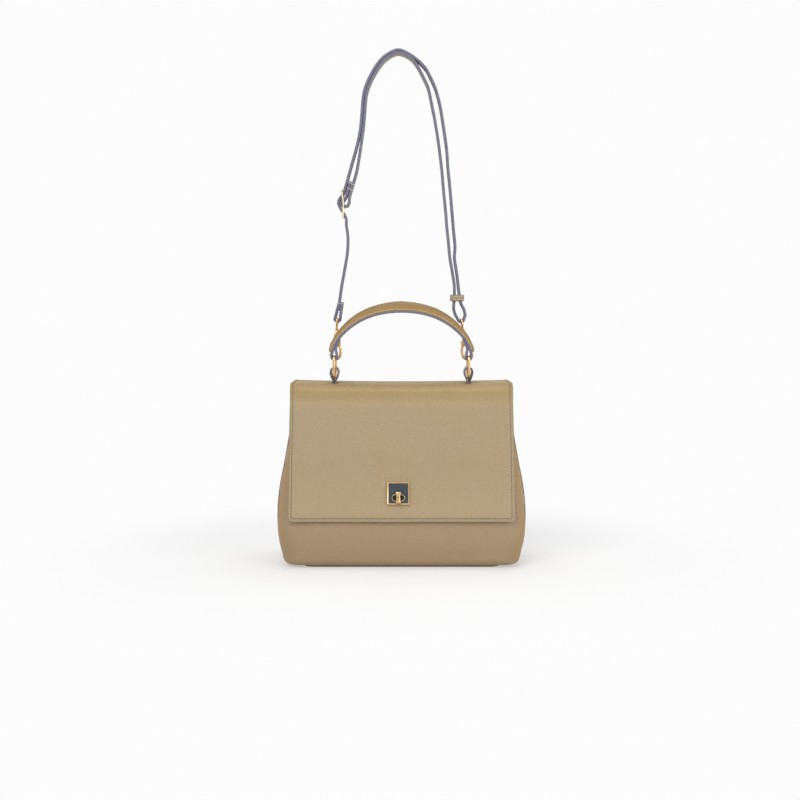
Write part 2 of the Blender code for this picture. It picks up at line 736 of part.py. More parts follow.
def chape_path(middle_x):
    """From one sewn tail up through the slit, round the ring and down to the other tail."""
    tail_z = FLAP_TOP_Z - FLAP_DEPTH - GAP - CHAPE_LEATHER / 2
    bend = CHAPE_LEATHER
    top = FLAP_TOP_Z + CHAPE_LOOP_HEIGHT
    half = [(-CHAPE_TAIL, tail_z), (-CHAPE_LEG - bend, tail_z)]
    half += arc((-CHAPE_LEG - bend, tail_z + bend), bend, -90, 0, 4)[1:]
    half.append((-CHAPE_LEG, FLAP_TOP_Z - 0.5))
    loop = [(-CHAPE_LEG, FLAP_TOP_Z), (-CHAPE_LEG - 2.0, RING_LOW_Z),
            (-CHAPE_LOOP_HALF, RING_LOW_Z + 6.4), (-CHAPE_LOOP_HALF * 0.78, top - 3.0),
            (0.0, top)]
    half += smooth_path(loop, 3)
    whole = half + [(-x, z) for x, z in reversed(half[:-1])]
    return [(middle_x + x, z) for x, z in whole]


def make_rings():
    for side, name in ((-1, "left"), (1, "right")):
        x = side * RING_HALF_SPAN
        ring = add_piece(f"ring_{name}", tube_mesh(f"ring_{name}", ring_points(x), RING_WIRE,
                                                   closed=True), "gold")
        move_origin(ring, (x, 0.0, RING_LOW_Z))
        chape = ribbon(f"chape_{name}", chape_path(x), 0.0, CHAPE_WIDTH, CHAPE_LEATHER,
                       "edge_leather")
        move_origin(chape, (0.0, HINGE_Y, HINGE_Z))


def make_slit_cutters():
    """Slits in the flap's top, where the chapes come through."""
    made = []
    half_x = CHAPE_LEG + CHAPE_LEATHER / 2 + GAP
    half_y = CHAPE_WIDTH / 2 + GAP
    for side, name in ((-1, "left"), (1, "right")):
        x = side * RING_HALF_SPAN
        low = (x - half_x, -half_y, FLAP_TOP_Z - 12)
        high = (x + half_x, half_y, FLAP_TOP_Z + 6)
        made.append(add_helper(f"slit_{name}", box_mesh(f"slit_{name}", low, high)))
    return made


# Handle

def arch_spot(turn, inward=0.0):
    """(x, z) at an angle of half an ellipse with slightly drawn-in shoulders."""
    wide = RING_HALF_SPAN + HANDLE_LOOP - inward
    rise = HANDLE_RISE + HANDLE_STRAP / 2 - inward
    slim = 1 - HANDLE_SHOULDER * sin(2 * turn) ** 2
    return (wide * cos(turn) * slim, RING_HIGH_Z + rise * sin(turn))


def handle_arch(inward=0.0, reach=90.0, steps=24):
    """(x, z) along the strap under the arch, from left to right."""
    turns = [radians(90 + reach - 2 * reach * i / steps) for i in range(steps + 1)]
    return [arch_spot(turn, inward) for turn in turns]


def handle_path():
    """The arch's strap, looped under each ring's bar and folded up against itself."""
    pitch = HANDLE_STRAP + GAP
    centre = (-RING_HALF_SPAN, RING_HIGH_Z)
    high = HANDLE_TAIL / (HANDLE_RISE + HANDLE_STRAP / 2 - pitch)
    tail = []
    for share in (1.0, 0.82, 0.64, 0.46):
        tail.append(arch_spot(pi - asin(high * share), pitch))
    low = [(-RING_HALF_SPAN + HANDLE_LOOP * 0.75, RING_HIGH_Z + HANDLE_TAIL * 0.22)]
    left = tail + low + arc(centre, HANDLE_LOOP, 0, -170, 9)
    return left + handle_arch() + [(-x, z) for x, z in reversed(left)]


def dome_ring(spot, along, height):
    """One section of the padded top: flat below, domed above."""
    out = Vector((-along[1], along[0]))
    base = Vector(spot) + out * (HANDLE_STRAP / 2 + GAP)
    half = HANDLE_WIDTH / 2
    points = [(-half, 0.0)]
    for i in range(9):
        a = pi - pi * i / 8
        points.append((half * cos(a), 1.4 + (height - 1.4) * sin(a) ** 0.8))
    points.append((half, 0.0))
    return [(base[0] + out[0] * up, HANDLE_Y + y, base[1] + out[1] * up) for y, up in points]


def make_handle():
    strap = ribbon("handle_strap", handle_path(), HANDLE_Y, HANDLE_LOOP_WIDTH, HANDLE_STRAP,
                   "edge_leather")
    start = degrees(asin(HANDLE_PAD_FROM / HANDLE_RISE))
    arch = handle_arch(reach=90 - start, steps=30)
    rings = []
    for i, spot in enumerate(arch):
        before, after = arch[max(i - 1, 0)], arch[min(i + 1, len(arch) - 1)]
        along = (Vector(after) - Vector(before)).normalized()
        share = 1 - abs(2 * i / (len(arch) - 1) - 1)
        rings.append(dome_ring(spot, along, HANDLE_DOME * between(PAD_SHAPE, share)))
    bm = bmesh.new()
    made = [[bm.verts.new(Vector(p) * MM) for p in ring] for ring in rings]
    grid_faces(bm, made, closed=True)
    bm.faces.new(made[0])
    bm.faces.new(list(reversed(made[-1])))
    bmesh.ops.recalc_face_normals(bm, faces=bm.faces)
    mesh = bpy.data.meshes.new("handle_pad")
    bm.to_mesh(mesh)
    bm.free()
    shade(mesh)
    pad = add_piece("handle_pad", mesh, "tan_leather")
    for obj in (strap, pad):
        move_origin(obj, (-RING_HALF_SPAN, 0.0, RING_HIGH_Z))


# Snap hooks, made upright with the ring's bar at the origin, then leant and placed

def hook_matrix(side):
    lean = HOOK_LEAN_LEFT if side < 0 else -HOOK_LEAN_RIGHT
    place = Vector((side * RING_HALF_SPAN, STRAP_Y, RING_HIGH_Z)) * MM
    return Matrix.Translation(place) @ Matrix.Rotation(radians(lean), 4, "Y")


def eye_place(side):
    """(x, z) of the middle of the eye's bar, which the strap loops round."""
    spot = hook_matrix(side) @ Vector((0.0, 0.0, HOOK_REACH * MM)) / MM
    return (spot[0], spot[2])


def bow_path(side):
    """The open hook: from the neck down one side, under the ring's bar and up to its nose."""
    high = BOW_LOW + HOOK_BOW_HEIGHT
    middle = BOW_LOW + HOOK_HALF_WIDTH
    down = [(0.0, high + 2.5), (-HOOK_HALF_WIDTH * 0.62, high - 0.6),
            (-HOOK_HALF_WIDTH, high - 6.0)]
    path = smooth_path(down, 4)
    path += arc((0.0, middle), HOOK_HALF_WIDTH, 180, 360, 10)
    path.append((HOOK_HALF_WIDTH, GATE_TIP_HEIGHT + HOOK_HALF_WIDTH * 0.3))
    return [(side * x, 0.0, z) for x, z in path]


def gate_top():
    """Height of the gate's pin over the ring's bar."""
    return BOW_LOW + HOOK_BOW_HEIGHT + HOOK_NECK_HEIGHT * 0.35


def make_hook(side, name):
    stand = hook_matrix(side)
    pin_z = gate_top()
    pin_x = side * HOOK_HALF_WIDTH * 0.55
    bow_top = BOW_LOW + HOOK_BOW_HEIGHT
    neck_top = bow_top + HOOK_NECK_HEIGHT
    cheek = GATE_THICK / 2 + GAP + 1.2
    # bow and neck
    bow = add_piece(f"hook_{name}", tube_mesh(f"hook_{name}", bow_path(side), HOOK_WIRE), "gold")
    reach = abs(pin_x) + GATE_PIN + 1.2
    low = (-reach, -cheek, bow_top - 0.8)
    high = (reach, cheek, neck_top)
    neck = add_helper(f"hook_neck_{name}", box_mesh(f"hook_neck_{name}", low, high))
    soften = neck.modifiers.new("edges", "BEVEL")
    soften.width = 0.7 * MM
    soften.segments = 2
    barrel_top = neck_top + BARREL_HEIGHT
    profile = ((EYE_STEM / 2 + GAP, barrel_top), (BARREL_RADIUS - 1.0, barrel_top),
               (BARREL_RADIUS, barrel_top - 1.2), (BARREL_RADIUS, barrel_top - 2.8),
               (BARREL_RADIUS - 0.9, barrel_top - 4.0), (BARREL_RADIUS - 0.9, neck_top + 2.4),
               (BARREL_RADIUS - 0.2, neck_top + 1.2), (BARREL_RADIUS - 0.2, neck_top - 1.0),
               (0.0, neck_top - 1.0), (0.0, barrel_top - BARREL_HEIGHT * 0.75),
               (EYE_STEM / 2 + GAP, barrel_top - BARREL_HEIGHT * 0.75),
               (EYE_STEM / 2 + GAP, barrel_top))
    barrel = turned(f"hook_barrel_{name}", profile, None)
    # the gate's slot in the neck, and its pin hole
    slot = box_mesh(f"gate_slot_{name}", (min(0.0, side * (reach + 4)), -GATE_THICK / 2 - GAP,
                                          bow_top - 6),
                    (max(0.0, side * (reach + 4)), GATE_THICK / 2 + GAP,
                     pin_z + GATE_PIN + 0.9))
    slot = add_helper(f"gate_slot_{name}", slot)
    hole = rod_mesh(f"pin_hole_{name}", GATE_PIN / 2 + GATE_PIN_PLAY, -9, 9, 16)
    hole.transform(Matrix.Translation(Vector((pin_x, 0, pin_z)) * MM)
                   @ Matrix.Rotation(pi / 2, 4, "X"))
    hole = add_helper(f"pin_hole_{name}", hole)
    boolean(bow, "UNION", neck)
    boolean(bow, "UNION", barrel)
    boolean(bow, "DIFFERENCE", slot)
    boolean(bow, "DIFFERENCE", hole)
    # the spring gate with its thumb piece
    nose = (side * HOOK_HALF_WIDTH, GATE_TIP_HEIGHT + HOOK_HALF_WIDTH * 0.3 + GAP)
    wide = 1.3
    outer = [(pin_x - side * 1.7, pin_z - 0.6), (pin_x - side * 1.2, pin_z + 1.3),
             (pin_x + side * 1.2, pin_z + 1.3), (pin_x + side * 4.4, pin_z + 0.2),
             (pin_x + side * 5.2, pin_z - 1.9), (pin_x + side * 3.4, pin_z - 2.6),
             (nose[0] + side * wide, nose[1] + 5.0), (nose[0] + side * wide, nose[1] + 1.3),
             (nose[0] + side * wide * 0.1, nose[1] + 0.2), (nose[0] - side * wide, nose[1]),
             (nose[0] - side * wide, nose[1] + 5.0)]
    gate_mesh = plate_mesh(f"gate_{name}", outer, -GATE_THICK / 2, GATE_THICK / 2)
    gate_mesh.transform(Matrix.Rotation(pi / 2, 4, "X"))
    gate = add_piece(f"gate_{name}", gate_mesh, "gold")
    boolean(gate, "DIFFERENCE", hole)
    pin = rod_mesh(f"gate_pin_{name}", GATE_PIN / 2, -cheek, cheek, 12)
    pin.transform(Matrix.Translation(Vector((pin_x, 0, pin_z)) * MM)
                  @ Matrix.Rotation(pi / 2, 4, "X"))
    pin = add_piece(f"gate_pin_{name}", pin, "gold")
    # the eye that turns in the barrel
    eye = make_eye(name, barrel_top)
    for obj in (bow, neck, barrel, slot, hole, gate, pin, eye, bpy.data.objects[f"eye_stem_{name}"]):
        obj.data.transform(stand)
        if obj is barrel:
            # a turned profile is swept about its own origin, so the whole object is placed
            obj.data.transform(stand.inverted())
            obj.matrix_world = stand
    origin = stand @ Vector((0, 0, 0)) / MM
    hinge = stand @ (Vector((pin_x, 0, pin_z)) * MM) / MM
    for obj in (bow, pin, eye):
        move_origin(obj, origin)
    move_origin(gate, hinge)


def make_eye(name, barrel_top):
    """A D-shaped loop whose bar carries the strap, on a stem that turns in the barrel."""
    half = STRAP_WIDTH / 2 + GAP + EYE_WIRE / 2 + 0.4
    top = HOOK_REACH
    low = top - EYE_HEIGHT
    loop = [(half, top), (-half, top), (-half, top - EYE_HEIGHT * 0.6),
            (-half * 0.35, low), (half * 0.35, low), (half, top - EYE_HEIGHT * 0.6)]
    points = []
    for i, spot in enumerate(loop):
        before = Vector(loop[i - 1])
        after = Vector(loop[(i + 1) % len(loop)])
        here = Vector(spot)
        points.append(here + (before - here).normalized() * 1.4)
        points.append(here + (after - here).normalized() * 1.4)
    ring = [(0.0, p[0], p[1]) for p in points]
    eye = add_piece(f"eye_{name}", tube_mesh(f"eye_{name}", ring, EYE_WIRE, closed=True), "gold")
    stem_low = barrel_top - BARREL_HEIGHT * 0.75 + GAP
    stem = rod_mesh(f"eye_stem_{name}", EYE_STEM / 2, stem_low, low + 0.4, 14)
    boolean(eye, "UNION", add_helper(f"eye_stem_{name}", stem))
    return eye


# Shoulder strap: one long strip, so its two runs come from one path

# (x, z) from the left eye's bar, up the outer run to the strap's crown
LEFT_OUTER = ((0.7, 16.0), (2.7, 24.0), (5.6, 44.0), (9.2, 64.0), (13.0, 88.0), (13.6, 108.0),
              (11.6, 122.0))
# past the slider's three bars, from below to above
LEFT_ABOVE = ((9.6, 168.5), (18.2, 201.0), (25.2, 226.0), (29.6, 247.0), (31.6, 267.0),
              (33.2, 288.0), (35.0, 298.5), (38.4, 309.0), (43.6, 320.0), (51.4, 333.0),
              (62.0, 344.6))
# (x, z) from the right eye's bar, from the crown down the outer run
RIGHT_OUTER = ((-81.5, 353.5), (-60.2, 342.6), (-46.8, 329.6), (-40.9, 319.0), (-33.6, 303.0),
               (-27.6, 281.0), (-24.2, 261.0), (-21.0, 240.0), (-18.4, 219.0), (-17.0, 198.0),
               (-14.4, 172.0), (-11.8, 142.0), (-9.8, 118.0), (-7.8, 96.0), (-8.4, 80.0),
               (-5.4, 60.0), (-3.8, 46.0), (-2.4, 34.0))
RIGHT_OUTER_LOOP = ((-0.4, 22.0), (3.9, 13.0), (5.6, 6.0))
RIGHT_INNER_LOOP = ((-7.4, 6.0), (-9.6, 14.0), (-9.2, 22.0))
# up the inner run, until it lies against the outer one
RIGHT_INNER = ((-8.6, 34.0), (-8.9, 46.0), (-11.0, 60.0), (-14.4, 80.0), (-16.2, 98.0),
               (-18.6, 122.0), (-20.2, 142.0), (-22.6, 166.0), (-24.6, 190.0), (-27.0, 212.0),
               (-30.2, 236.0), (-34.4, 262.0), (-38.2, 281.0), (-42.4, 301.0),
               (-47.6, 314.0))
LEFT_INNER = ((26.6, 201.0), (22.6, 184.0))
# the slider's bars, from the left eye's bar
SLIDER_TOP = (5.2, 169.0)
SLIDER_MIDDLE = (7.8, 151.2)
SLIDER_BOTTOM = (7.3, 133.0)


def shifted(points, origin):
    return [(origin[0] + x, origin[1] + z) for x, z in points]


def lie_inside(path, distance):
    """The path moved to its right-hand side, so that a run lies against another."""
    moved = []
    for i in range(1, len(path) - 1):
        step = (Vector(path[i + 1]) - Vector(path[i - 1])).normalized()
        moved.append((path[i][0] + step[1] * distance, path[i][1] - step[0] * distance))
    return moved


def strap_path():
    left = eye_place(-1)
    right = eye_place(1)
    loop = EYE_WIRE / 2 + 1.6 * GAP + STRAP_THICK / 2
    pitch = STRAP_THICK + STRAP_LAY
    bar = SLIDER_WIRE / 2 + GAP + STRAP_THICK / 2
    # the end sewn round the left eye: its tail stands inside the run
    tail = shifted(((loop + 3.0, 22.0), (loop + 1.4, 11.5), (loop + 0.2, 3.2)), left)
    start = smooth_path(tail, 2) + arc(left, loop, -15, -180, 7)
    slider = shifted((SLIDER_BOTTOM, SLIDER_MIDDLE, SLIDER_TOP), left)
    weave = [(slider[0][0] + bar + 0.1, slider[0][1] + 1.0),
             (slider[1][0] - 2 * bar - GAP, slider[1][1] + 0.4),
             (slider[2][0] + bar + 0.3, slider[2][1] - 1.6)]
    rise = shifted(LEFT_OUTER, left) + weave + shifted(LEFT_ABOVE[1:], left)
    outer = smooth_path(rise + shifted(RIGHT_OUTER + RIGHT_OUTER_LOOP, right), 3)
    turn = arc(right, loop, -20, -160, 6)
    climb = shifted(RIGHT_INNER_LOOP + RIGHT_INNER, right)
    # over the crown the inner run follows the outer one
    crown = rise[-9:] + shifted(RIGHT_OUTER[:3], right)
    inside = lie_inside(crown, pitch)
    end = shifted(LEFT_INNER, left)
    end += [(slider[1][0] + 8.2, slider[1][1] + 10.0), (slider[1][0] + 7.4, slider[1][1] + 1.0),
            (slider[1][0] + 4.6, slider[1][1] - 3.6)]
    inner = smooth_path(climb + list(reversed(inside)) + end, 3)
    wrap = arc(slider[1], bar, -75, -265, 7)
    last = smooth_path([(slider[1][0] + 2.6, slider[1][1] + 7.4),
                        (slider[1][0] + 6.0, slider[1][1] + 17.0),
                        (slider[1][0] + 9.0, slider[1][1] + 29.0)], 2)
    return start + outer + turn + inner + wrap + last


def make_strap():
    strap = ribbon("shoulder_strap", strap_path(), STRAP_Y, STRAP_WIDTH, STRAP_THICK,
                   "edge_leather")
    left = eye_place(-1)
    top, middle, bottom = shifted((SLIDER_TOP, SLIDER_MIDDLE, SLIDER_BOTTOM), left)
    half = STRAP_WIDTH / 2 + GAP + SLIDER_WIRE / 2
    near, far = STRAP_Y - half, STRAP_Y + half
    rail = smooth_path([top, middle, bottom], 3)
    loop = [(x, near, z) for x, z in rail] + [(x, far, z) for x, z in reversed(rail)]
    frame = add_piece("slider", tube_mesh("slider", loop, SLIDER_WIRE, closed=True), "gold")
    bar = tube_mesh("slider_bar", [(middle[0], near, middle[1]), (middle[0], far, middle[1])],
                    SLIDER_WIRE * 0.96)
    boolean(frame, "UNION", add_helper("slider_bar", bar))
    for obj in (strap, frame):
        move_origin(obj, (-RING_HALF_SPAN, 0.0, RING_HIGH_Z))
    make_keeper()


def make_keeper():
    """A sewn leather band round both runs, over the right hook."""
    right = eye_place(1)
    outer = shifted((RIGHT_OUTER[-1], RIGHT_OUTER_LOOP[0]), right)
    inner = shifted((RIGHT_INNER[0], RIGHT_INNER_LOOP[-1]), right)
    far = (outer[0][0] + outer[1][0]) / 2
    near = (inner[0][0] + inner[1][0]) / 2
    middle = ((far + near) / 2, right[1] + KEEPER_UP)
    half_x = (far - near) / 2 + STRAP_THICK / 2 + KEEPER_PLAY
    half_y = STRAP_WIDTH / 2 + KEEPER_PLAY / 2
    loop = rounded_rectangle(half_x + KEEPER_LEATHER / 2, half_y + KEEPER_LEATHER / 2, 1.8, 3)
    rows = []
    for end in (-1, 1):
        z = middle[1] + end * KEEPER_HEIGHT / 2
        rows.append([(middle[0] + x, STRAP_Y + y, z) for x, y in loop])
    inside = (middle[0], STRAP_Y, middle[1])
    keeper = sheet("strap_keeper", rows, KEEPER_LEATHER, inside, "tan_leather", closed=True,
                   offset=0.0)
    move_origin(keeper, inside)


# Zip pocket on the rear lining

def make_zip():
    rear = wall_at(ZIP_Z)[2] - LINING_DEPTH - LINING - GAP
    above = wall_at(ZIP_Z + ZIP_TAPE_HEIGHT / 2)[2]
    below = wall_at(ZIP_Z - ZIP_TAPE_HEIGHT / 2)[2]
    lean = atan2(below - above, ZIP_TAPE_HEIGHT)
    # made with its face towards -Y, then leant with the wall
    stand = Matrix.Translation(Vector((0, rear, ZIP_Z)) * MM) @ Matrix.Rotation(lean, 4, "X")
    half = ZIP_LENGTH / 2
    tape_face = -ZIP_TAPE_THICK - GAP
    teeth_face = tape_face - ZIP_TEETH_THICK
    tape = box_mesh("zip_tape", (-half - 6, tape_face, -ZIP_TAPE_HEIGHT / 2),
                    (half + 6, -GAP, ZIP_TAPE_HEIGHT / 2))
    teeth = box_mesh("zip_teeth", (-half, teeth_face, -ZIP_TEETH_HEIGHT / 2),
                     (half, tape_face + 0.4, ZIP_TEETH_HEIGHT / 2))
    start = -half + 2
    slot_half = ZIP_TEETH_HEIGHT / 2 + GAP
    body = box_mesh("zip_slider", (start, teeth_face - ZIP_SLIDER_THICK / 2,
                                   -ZIP_SLIDER_HEIGHT / 2),
                    (start + ZIP_SLIDER_LENGTH, tape_face - GAP, ZIP_SLIDER_HEIGHT / 2))
    channel = box_mesh("zip_channel", (start - 2, teeth_face - GAP, -slot_half),
                       (start + ZIP_SLIDER_LENGTH + 2, tape_face + 3, slot_half))
    pull_top = -ZIP_SLIDER_HEIGHT / 2 + 2.0
    pull_face = teeth_face - ZIP_SLIDER_THICK / 2
    pull = box_mesh("zip_pull", (start + 2.5, pull_face - 1.6, pull_top - ZIP_PULL_LENGTH),
                    (start + 6.5, pull_face + 0.3, pull_top + 2.5))
    for mesh in (tape, teeth, body, channel, pull):
        mesh.transform(stand)
    add_piece("zip_tape", tape, "cloth")
    boolean(bpy.data.objects["zip_tape"], "UNION", add_helper("zip_teeth", teeth))
    slider = add_piece("zip_slider", body, "gold")
    boolean(slider, "DIFFERENCE", add_helper("zip_channel", channel))
    boolean(slider, "UNION", add_helper("zip_pull", pull))
    place = stand @ (Vector((start, teeth_face, 0)) * MM) / MM
    move_origin(slider, place)


clear_scene()
bag = new_collection("shoulder_bag")
helpers = new_collection("cutters")
slot_cutter = lock_cutter("lock_slot", SLOT_LENGTH + 2 * SLOT_WALL + 2 * GAP,
                          SLOT_HEIGHT + 2 * SLOT_WALL + 2 * GAP, 12.0)
slit_cutters = make_slit_cutters()
make_panels()
make_base()
make_boards()
make_lining()
make_flap()
make_lock()
make_rings()
make_handle()
make_hook(-1, "left")
make_hook(1, "right")
make_strap()
make_zip()
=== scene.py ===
import json
from math import asin, atan2, cos, degrees, exp, pi, radians, sin

import bmesh
import bpy
import numpy as np
from mathutils import Matrix, Vector, noise
from mathutils.bvhtree import BVHTree


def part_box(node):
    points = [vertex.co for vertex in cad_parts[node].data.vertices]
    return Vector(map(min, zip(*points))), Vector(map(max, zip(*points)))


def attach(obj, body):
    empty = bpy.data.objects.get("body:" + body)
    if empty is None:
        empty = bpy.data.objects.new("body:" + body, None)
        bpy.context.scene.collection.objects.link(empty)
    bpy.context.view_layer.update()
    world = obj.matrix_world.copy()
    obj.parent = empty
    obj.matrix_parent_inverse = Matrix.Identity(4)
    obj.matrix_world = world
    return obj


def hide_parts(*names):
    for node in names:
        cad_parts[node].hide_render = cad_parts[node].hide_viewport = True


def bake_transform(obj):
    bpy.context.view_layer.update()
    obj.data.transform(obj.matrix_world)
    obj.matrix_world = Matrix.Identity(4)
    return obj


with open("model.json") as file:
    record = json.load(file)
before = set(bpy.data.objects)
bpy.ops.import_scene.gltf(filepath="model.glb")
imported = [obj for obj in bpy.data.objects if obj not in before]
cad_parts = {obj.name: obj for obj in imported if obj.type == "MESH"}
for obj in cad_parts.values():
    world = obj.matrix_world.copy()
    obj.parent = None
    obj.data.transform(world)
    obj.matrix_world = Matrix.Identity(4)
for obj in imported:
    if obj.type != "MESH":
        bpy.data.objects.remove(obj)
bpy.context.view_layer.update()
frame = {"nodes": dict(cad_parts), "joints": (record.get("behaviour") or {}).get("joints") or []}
mm = 0.001
joints = {joint["name"]: joint for joint in frame["joints"]}
print("frame loaded")

# What a user would change first
leather = {
    "tan": (172, 152, 119),
    "hem": (180, 160, 126),         # painted light and shade: the flap is a little paler towards its lower edge, where the lamps reach it less, and more ochre over the bend, for how the light falls there
    "ridge": (179, 155, 109),       # and more ochre over the bend
    # painted shade: darker over the top of the flap
    "crown": (149, 122, 75),
    "lowerTan": (171, 147, 115),
    "flank": (177, 147, 105),       # painted light: the gussets, and the corners beside them, more ochre where they turn away from the front light
    "handle": (175, 140, 86),
    "handleTop": (125, 97, 54),     # painted shade: darker over the top of its dome
    "crease": 0.88,         # share of the colour left between the pebbles
    "pebble": 2.5,          # across one pebble
    "relief": 0.22,         # height of the pebbles
    "lie": 28,              # degrees by which the grain's long side drops
    "roughness": 0.47,
    "seamIn": 3.9,          # from the flap's edge to its stitches and their pressed line
    "edge": (116, 116, 137),
    "thread": (104, 92, 78),
    # pale thread, also standing in on the handle for a painted highlight along its flange
    "paleThread": (222, 208, 182),
    "lining": (128, 110, 88),
    "tape": (120, 100, 74),
}
metal = {
    "gold": (214, 180, 132),
    "roughness": 0.16,
    "grimeAndShade": 0.42,          # share of the colour left deep in corners, for grime and painted shade
    "paleGold": (226, 212, 186),
    # painted shade: dark gold for metal deep in the lock, also used for the knob's pin end
    "recess": (104, 84, 60),
    "plate": (50, 61, 67),
}
stitch = {
    "pitch": 3.7,
    "length": 2.7,
    "thread": 0.75,
    "sunk": 0.22,           # the thread's middle lies this far under a strap's face
    "above": 0.12,          # or this far over a surface that it is laid on
}


# Shader maths

def linear(colour):
    # 0-255 screen colour to the scene's linear colour
    shares = [c / 255 for c in colour]
    return [s / 12.92 if s <= 0.04045 else ((s + 0.055) / 1.055) ** 2.4 for s in shares]


def shade(colour, share):
    return [c * share for c in colour]


def setAll(made, settings):
    for key, value in settings.items():
        setattr(made, key, value)
    return made


class Wire:
    # one output in a tree, so that shader maths reads as an expression
    def __init__(self, nodes, socket):
        self.nodes = nodes
        self.socket = socket

    def maths(self, operation, *others):
        return self.nodes.node("ShaderNodeMath", {"operation": operation}, (self, *others))

    def __add__(self, other):
        return self.maths("ADD", other)

    def __sub__(self, other):
        return self.maths("SUBTRACT", other)

    def __rsub__(self, other):
        return self.nodes.node("ShaderNodeMath", {"operation": "SUBTRACT"}, (other, self))

    def __mul__(self, other):
        return self.maths("MULTIPLY", other)

    __radd__ = __add__


class Nodes:
    # a tree of shader nodes
    def __init__(self, tree):
        self.tree = tree

    def node(self, kind, settings=None, values=(), output=0):
        made = setAll(self.tree.nodes.new(kind), settings or {})
        pairs = values.items() if isinstance(values, dict) else enumerate(values)
        for key, value in pairs:
            if isinstance(value, Wire):
                self.tree.links.new(value.socket, made.inputs[key])
            else:
                made.inputs[key].default_value = value
        return Wire(self, made.outputs[output])

    def seen(self):
        # 1 to the camera, to reflections and through glass, and 0 to all other light
        rays = self.tree.nodes.new("ShaderNodeLightPath").outputs
        camera, glossy, clear = (Wire(self, rays["Is " + kind + " Ray"])
                                 for kind in ("Camera", "Glossy", "Transmission"))
        return (camera + glossy + clear).maths("MINIMUM", 1.0)


class Paint(Nodes):
    # one material, with short ways to the few nodes that the finishes share
    def __init__(self, name, roughness, metallic=0.0):
        self.material = bpy.data.materials.new(name)
        self.material.use_nodes = True
        super().__init__(self.material.node_tree)
        self.shader = self.tree.nodes["Principled BSDF"]
        self.feed("Roughness", roughness)
        self.feed("Metallic", metallic)

    def place(self, stretch=(1, 1, 1), turn=0):
        # where the point is on the piece, in millimetres, with a pattern drawn out by
        # stretch and turned about Y
        spot = self.node("ShaderNodeTexCoord", output="Object")
        return self.node("ShaderNodeMapping", {"vector_type": "TEXTURE"},
                         {"Vector": spot, "Scale": shade(stretch, mm),
                          "Rotation": (0, radians(turn), 0)})

    def parts(self, spot):
        made = self.node("ShaderNodeSeparateXYZ", None, [spot]).socket.node
        return [Wire(self, socket) for socket in made.outputs]

    def noise(self, spot, size, detail=2.0, rough=0.5, output="Fac"):
        return self.node("ShaderNodeTexNoise", None,
                         {"Vector": spot, "Scale": 1 / size, "Detail": detail,
                          "Roughness": rough}, output)

    def cells(self, spot, size):
        return self.node("ShaderNodeTexVoronoi", {"feature": "DISTANCE_TO_EDGE"},
                         {"Vector": spot, "Scale": 1 / size, "Randomness": 0.9}, "Distance")

    def between(self, value, low, high):
        # 0 below low, 1 above high, and smooth in between
        return self.node("ShaderNodeMapRange", {"interpolation_type": "SMOOTHSTEP"},
                         {"Value": value, "From Min": low, "From Max": high})

    def blend(self, factor, first, second, kind="MIX"):
        first, second = (c if isinstance(c, Wire) else (*c, 1.0) for c in (first, second))
        return self.node("ShaderNodeMix", {"data_type": "RGBA", "blend_type": kind},
                         {0: factor, 6: first, 7: second}, 2)

    def tones(self, value, low, high, base, dark, light):
        # a darker shade of the base where the value is low, and a lighter one where high
        return self.blend(self.between(value, low, high), shade(base, dark), shade(base, light))

    def tint(self, factor, skin, share):
        # the same pattern, with its colour multiplied by the share where the factor is 1
        return self.blend(factor, skin, self.blend(1.0, skin, share, "MULTIPLY"))

    def attribute(self, name):
        return self.node("ShaderNodeAttribute", {"attribute_name": name}, (), "Fac")

    def bump(self, height, depth):
        # height runs from 0 to 1, and depth is its size in millimetres
        self.feed("Normal", self.node("ShaderNodeBump", None,
                                      {"Height": height, "Distance": depth * mm, "Strength": 1.0}))

    def feed(self, socket, value):
        if isinstance(value, Wire):
            self.tree.links.new(value.socket, self.shader.inputs[socket])
        else:
            self.shader.inputs[socket].default_value = value


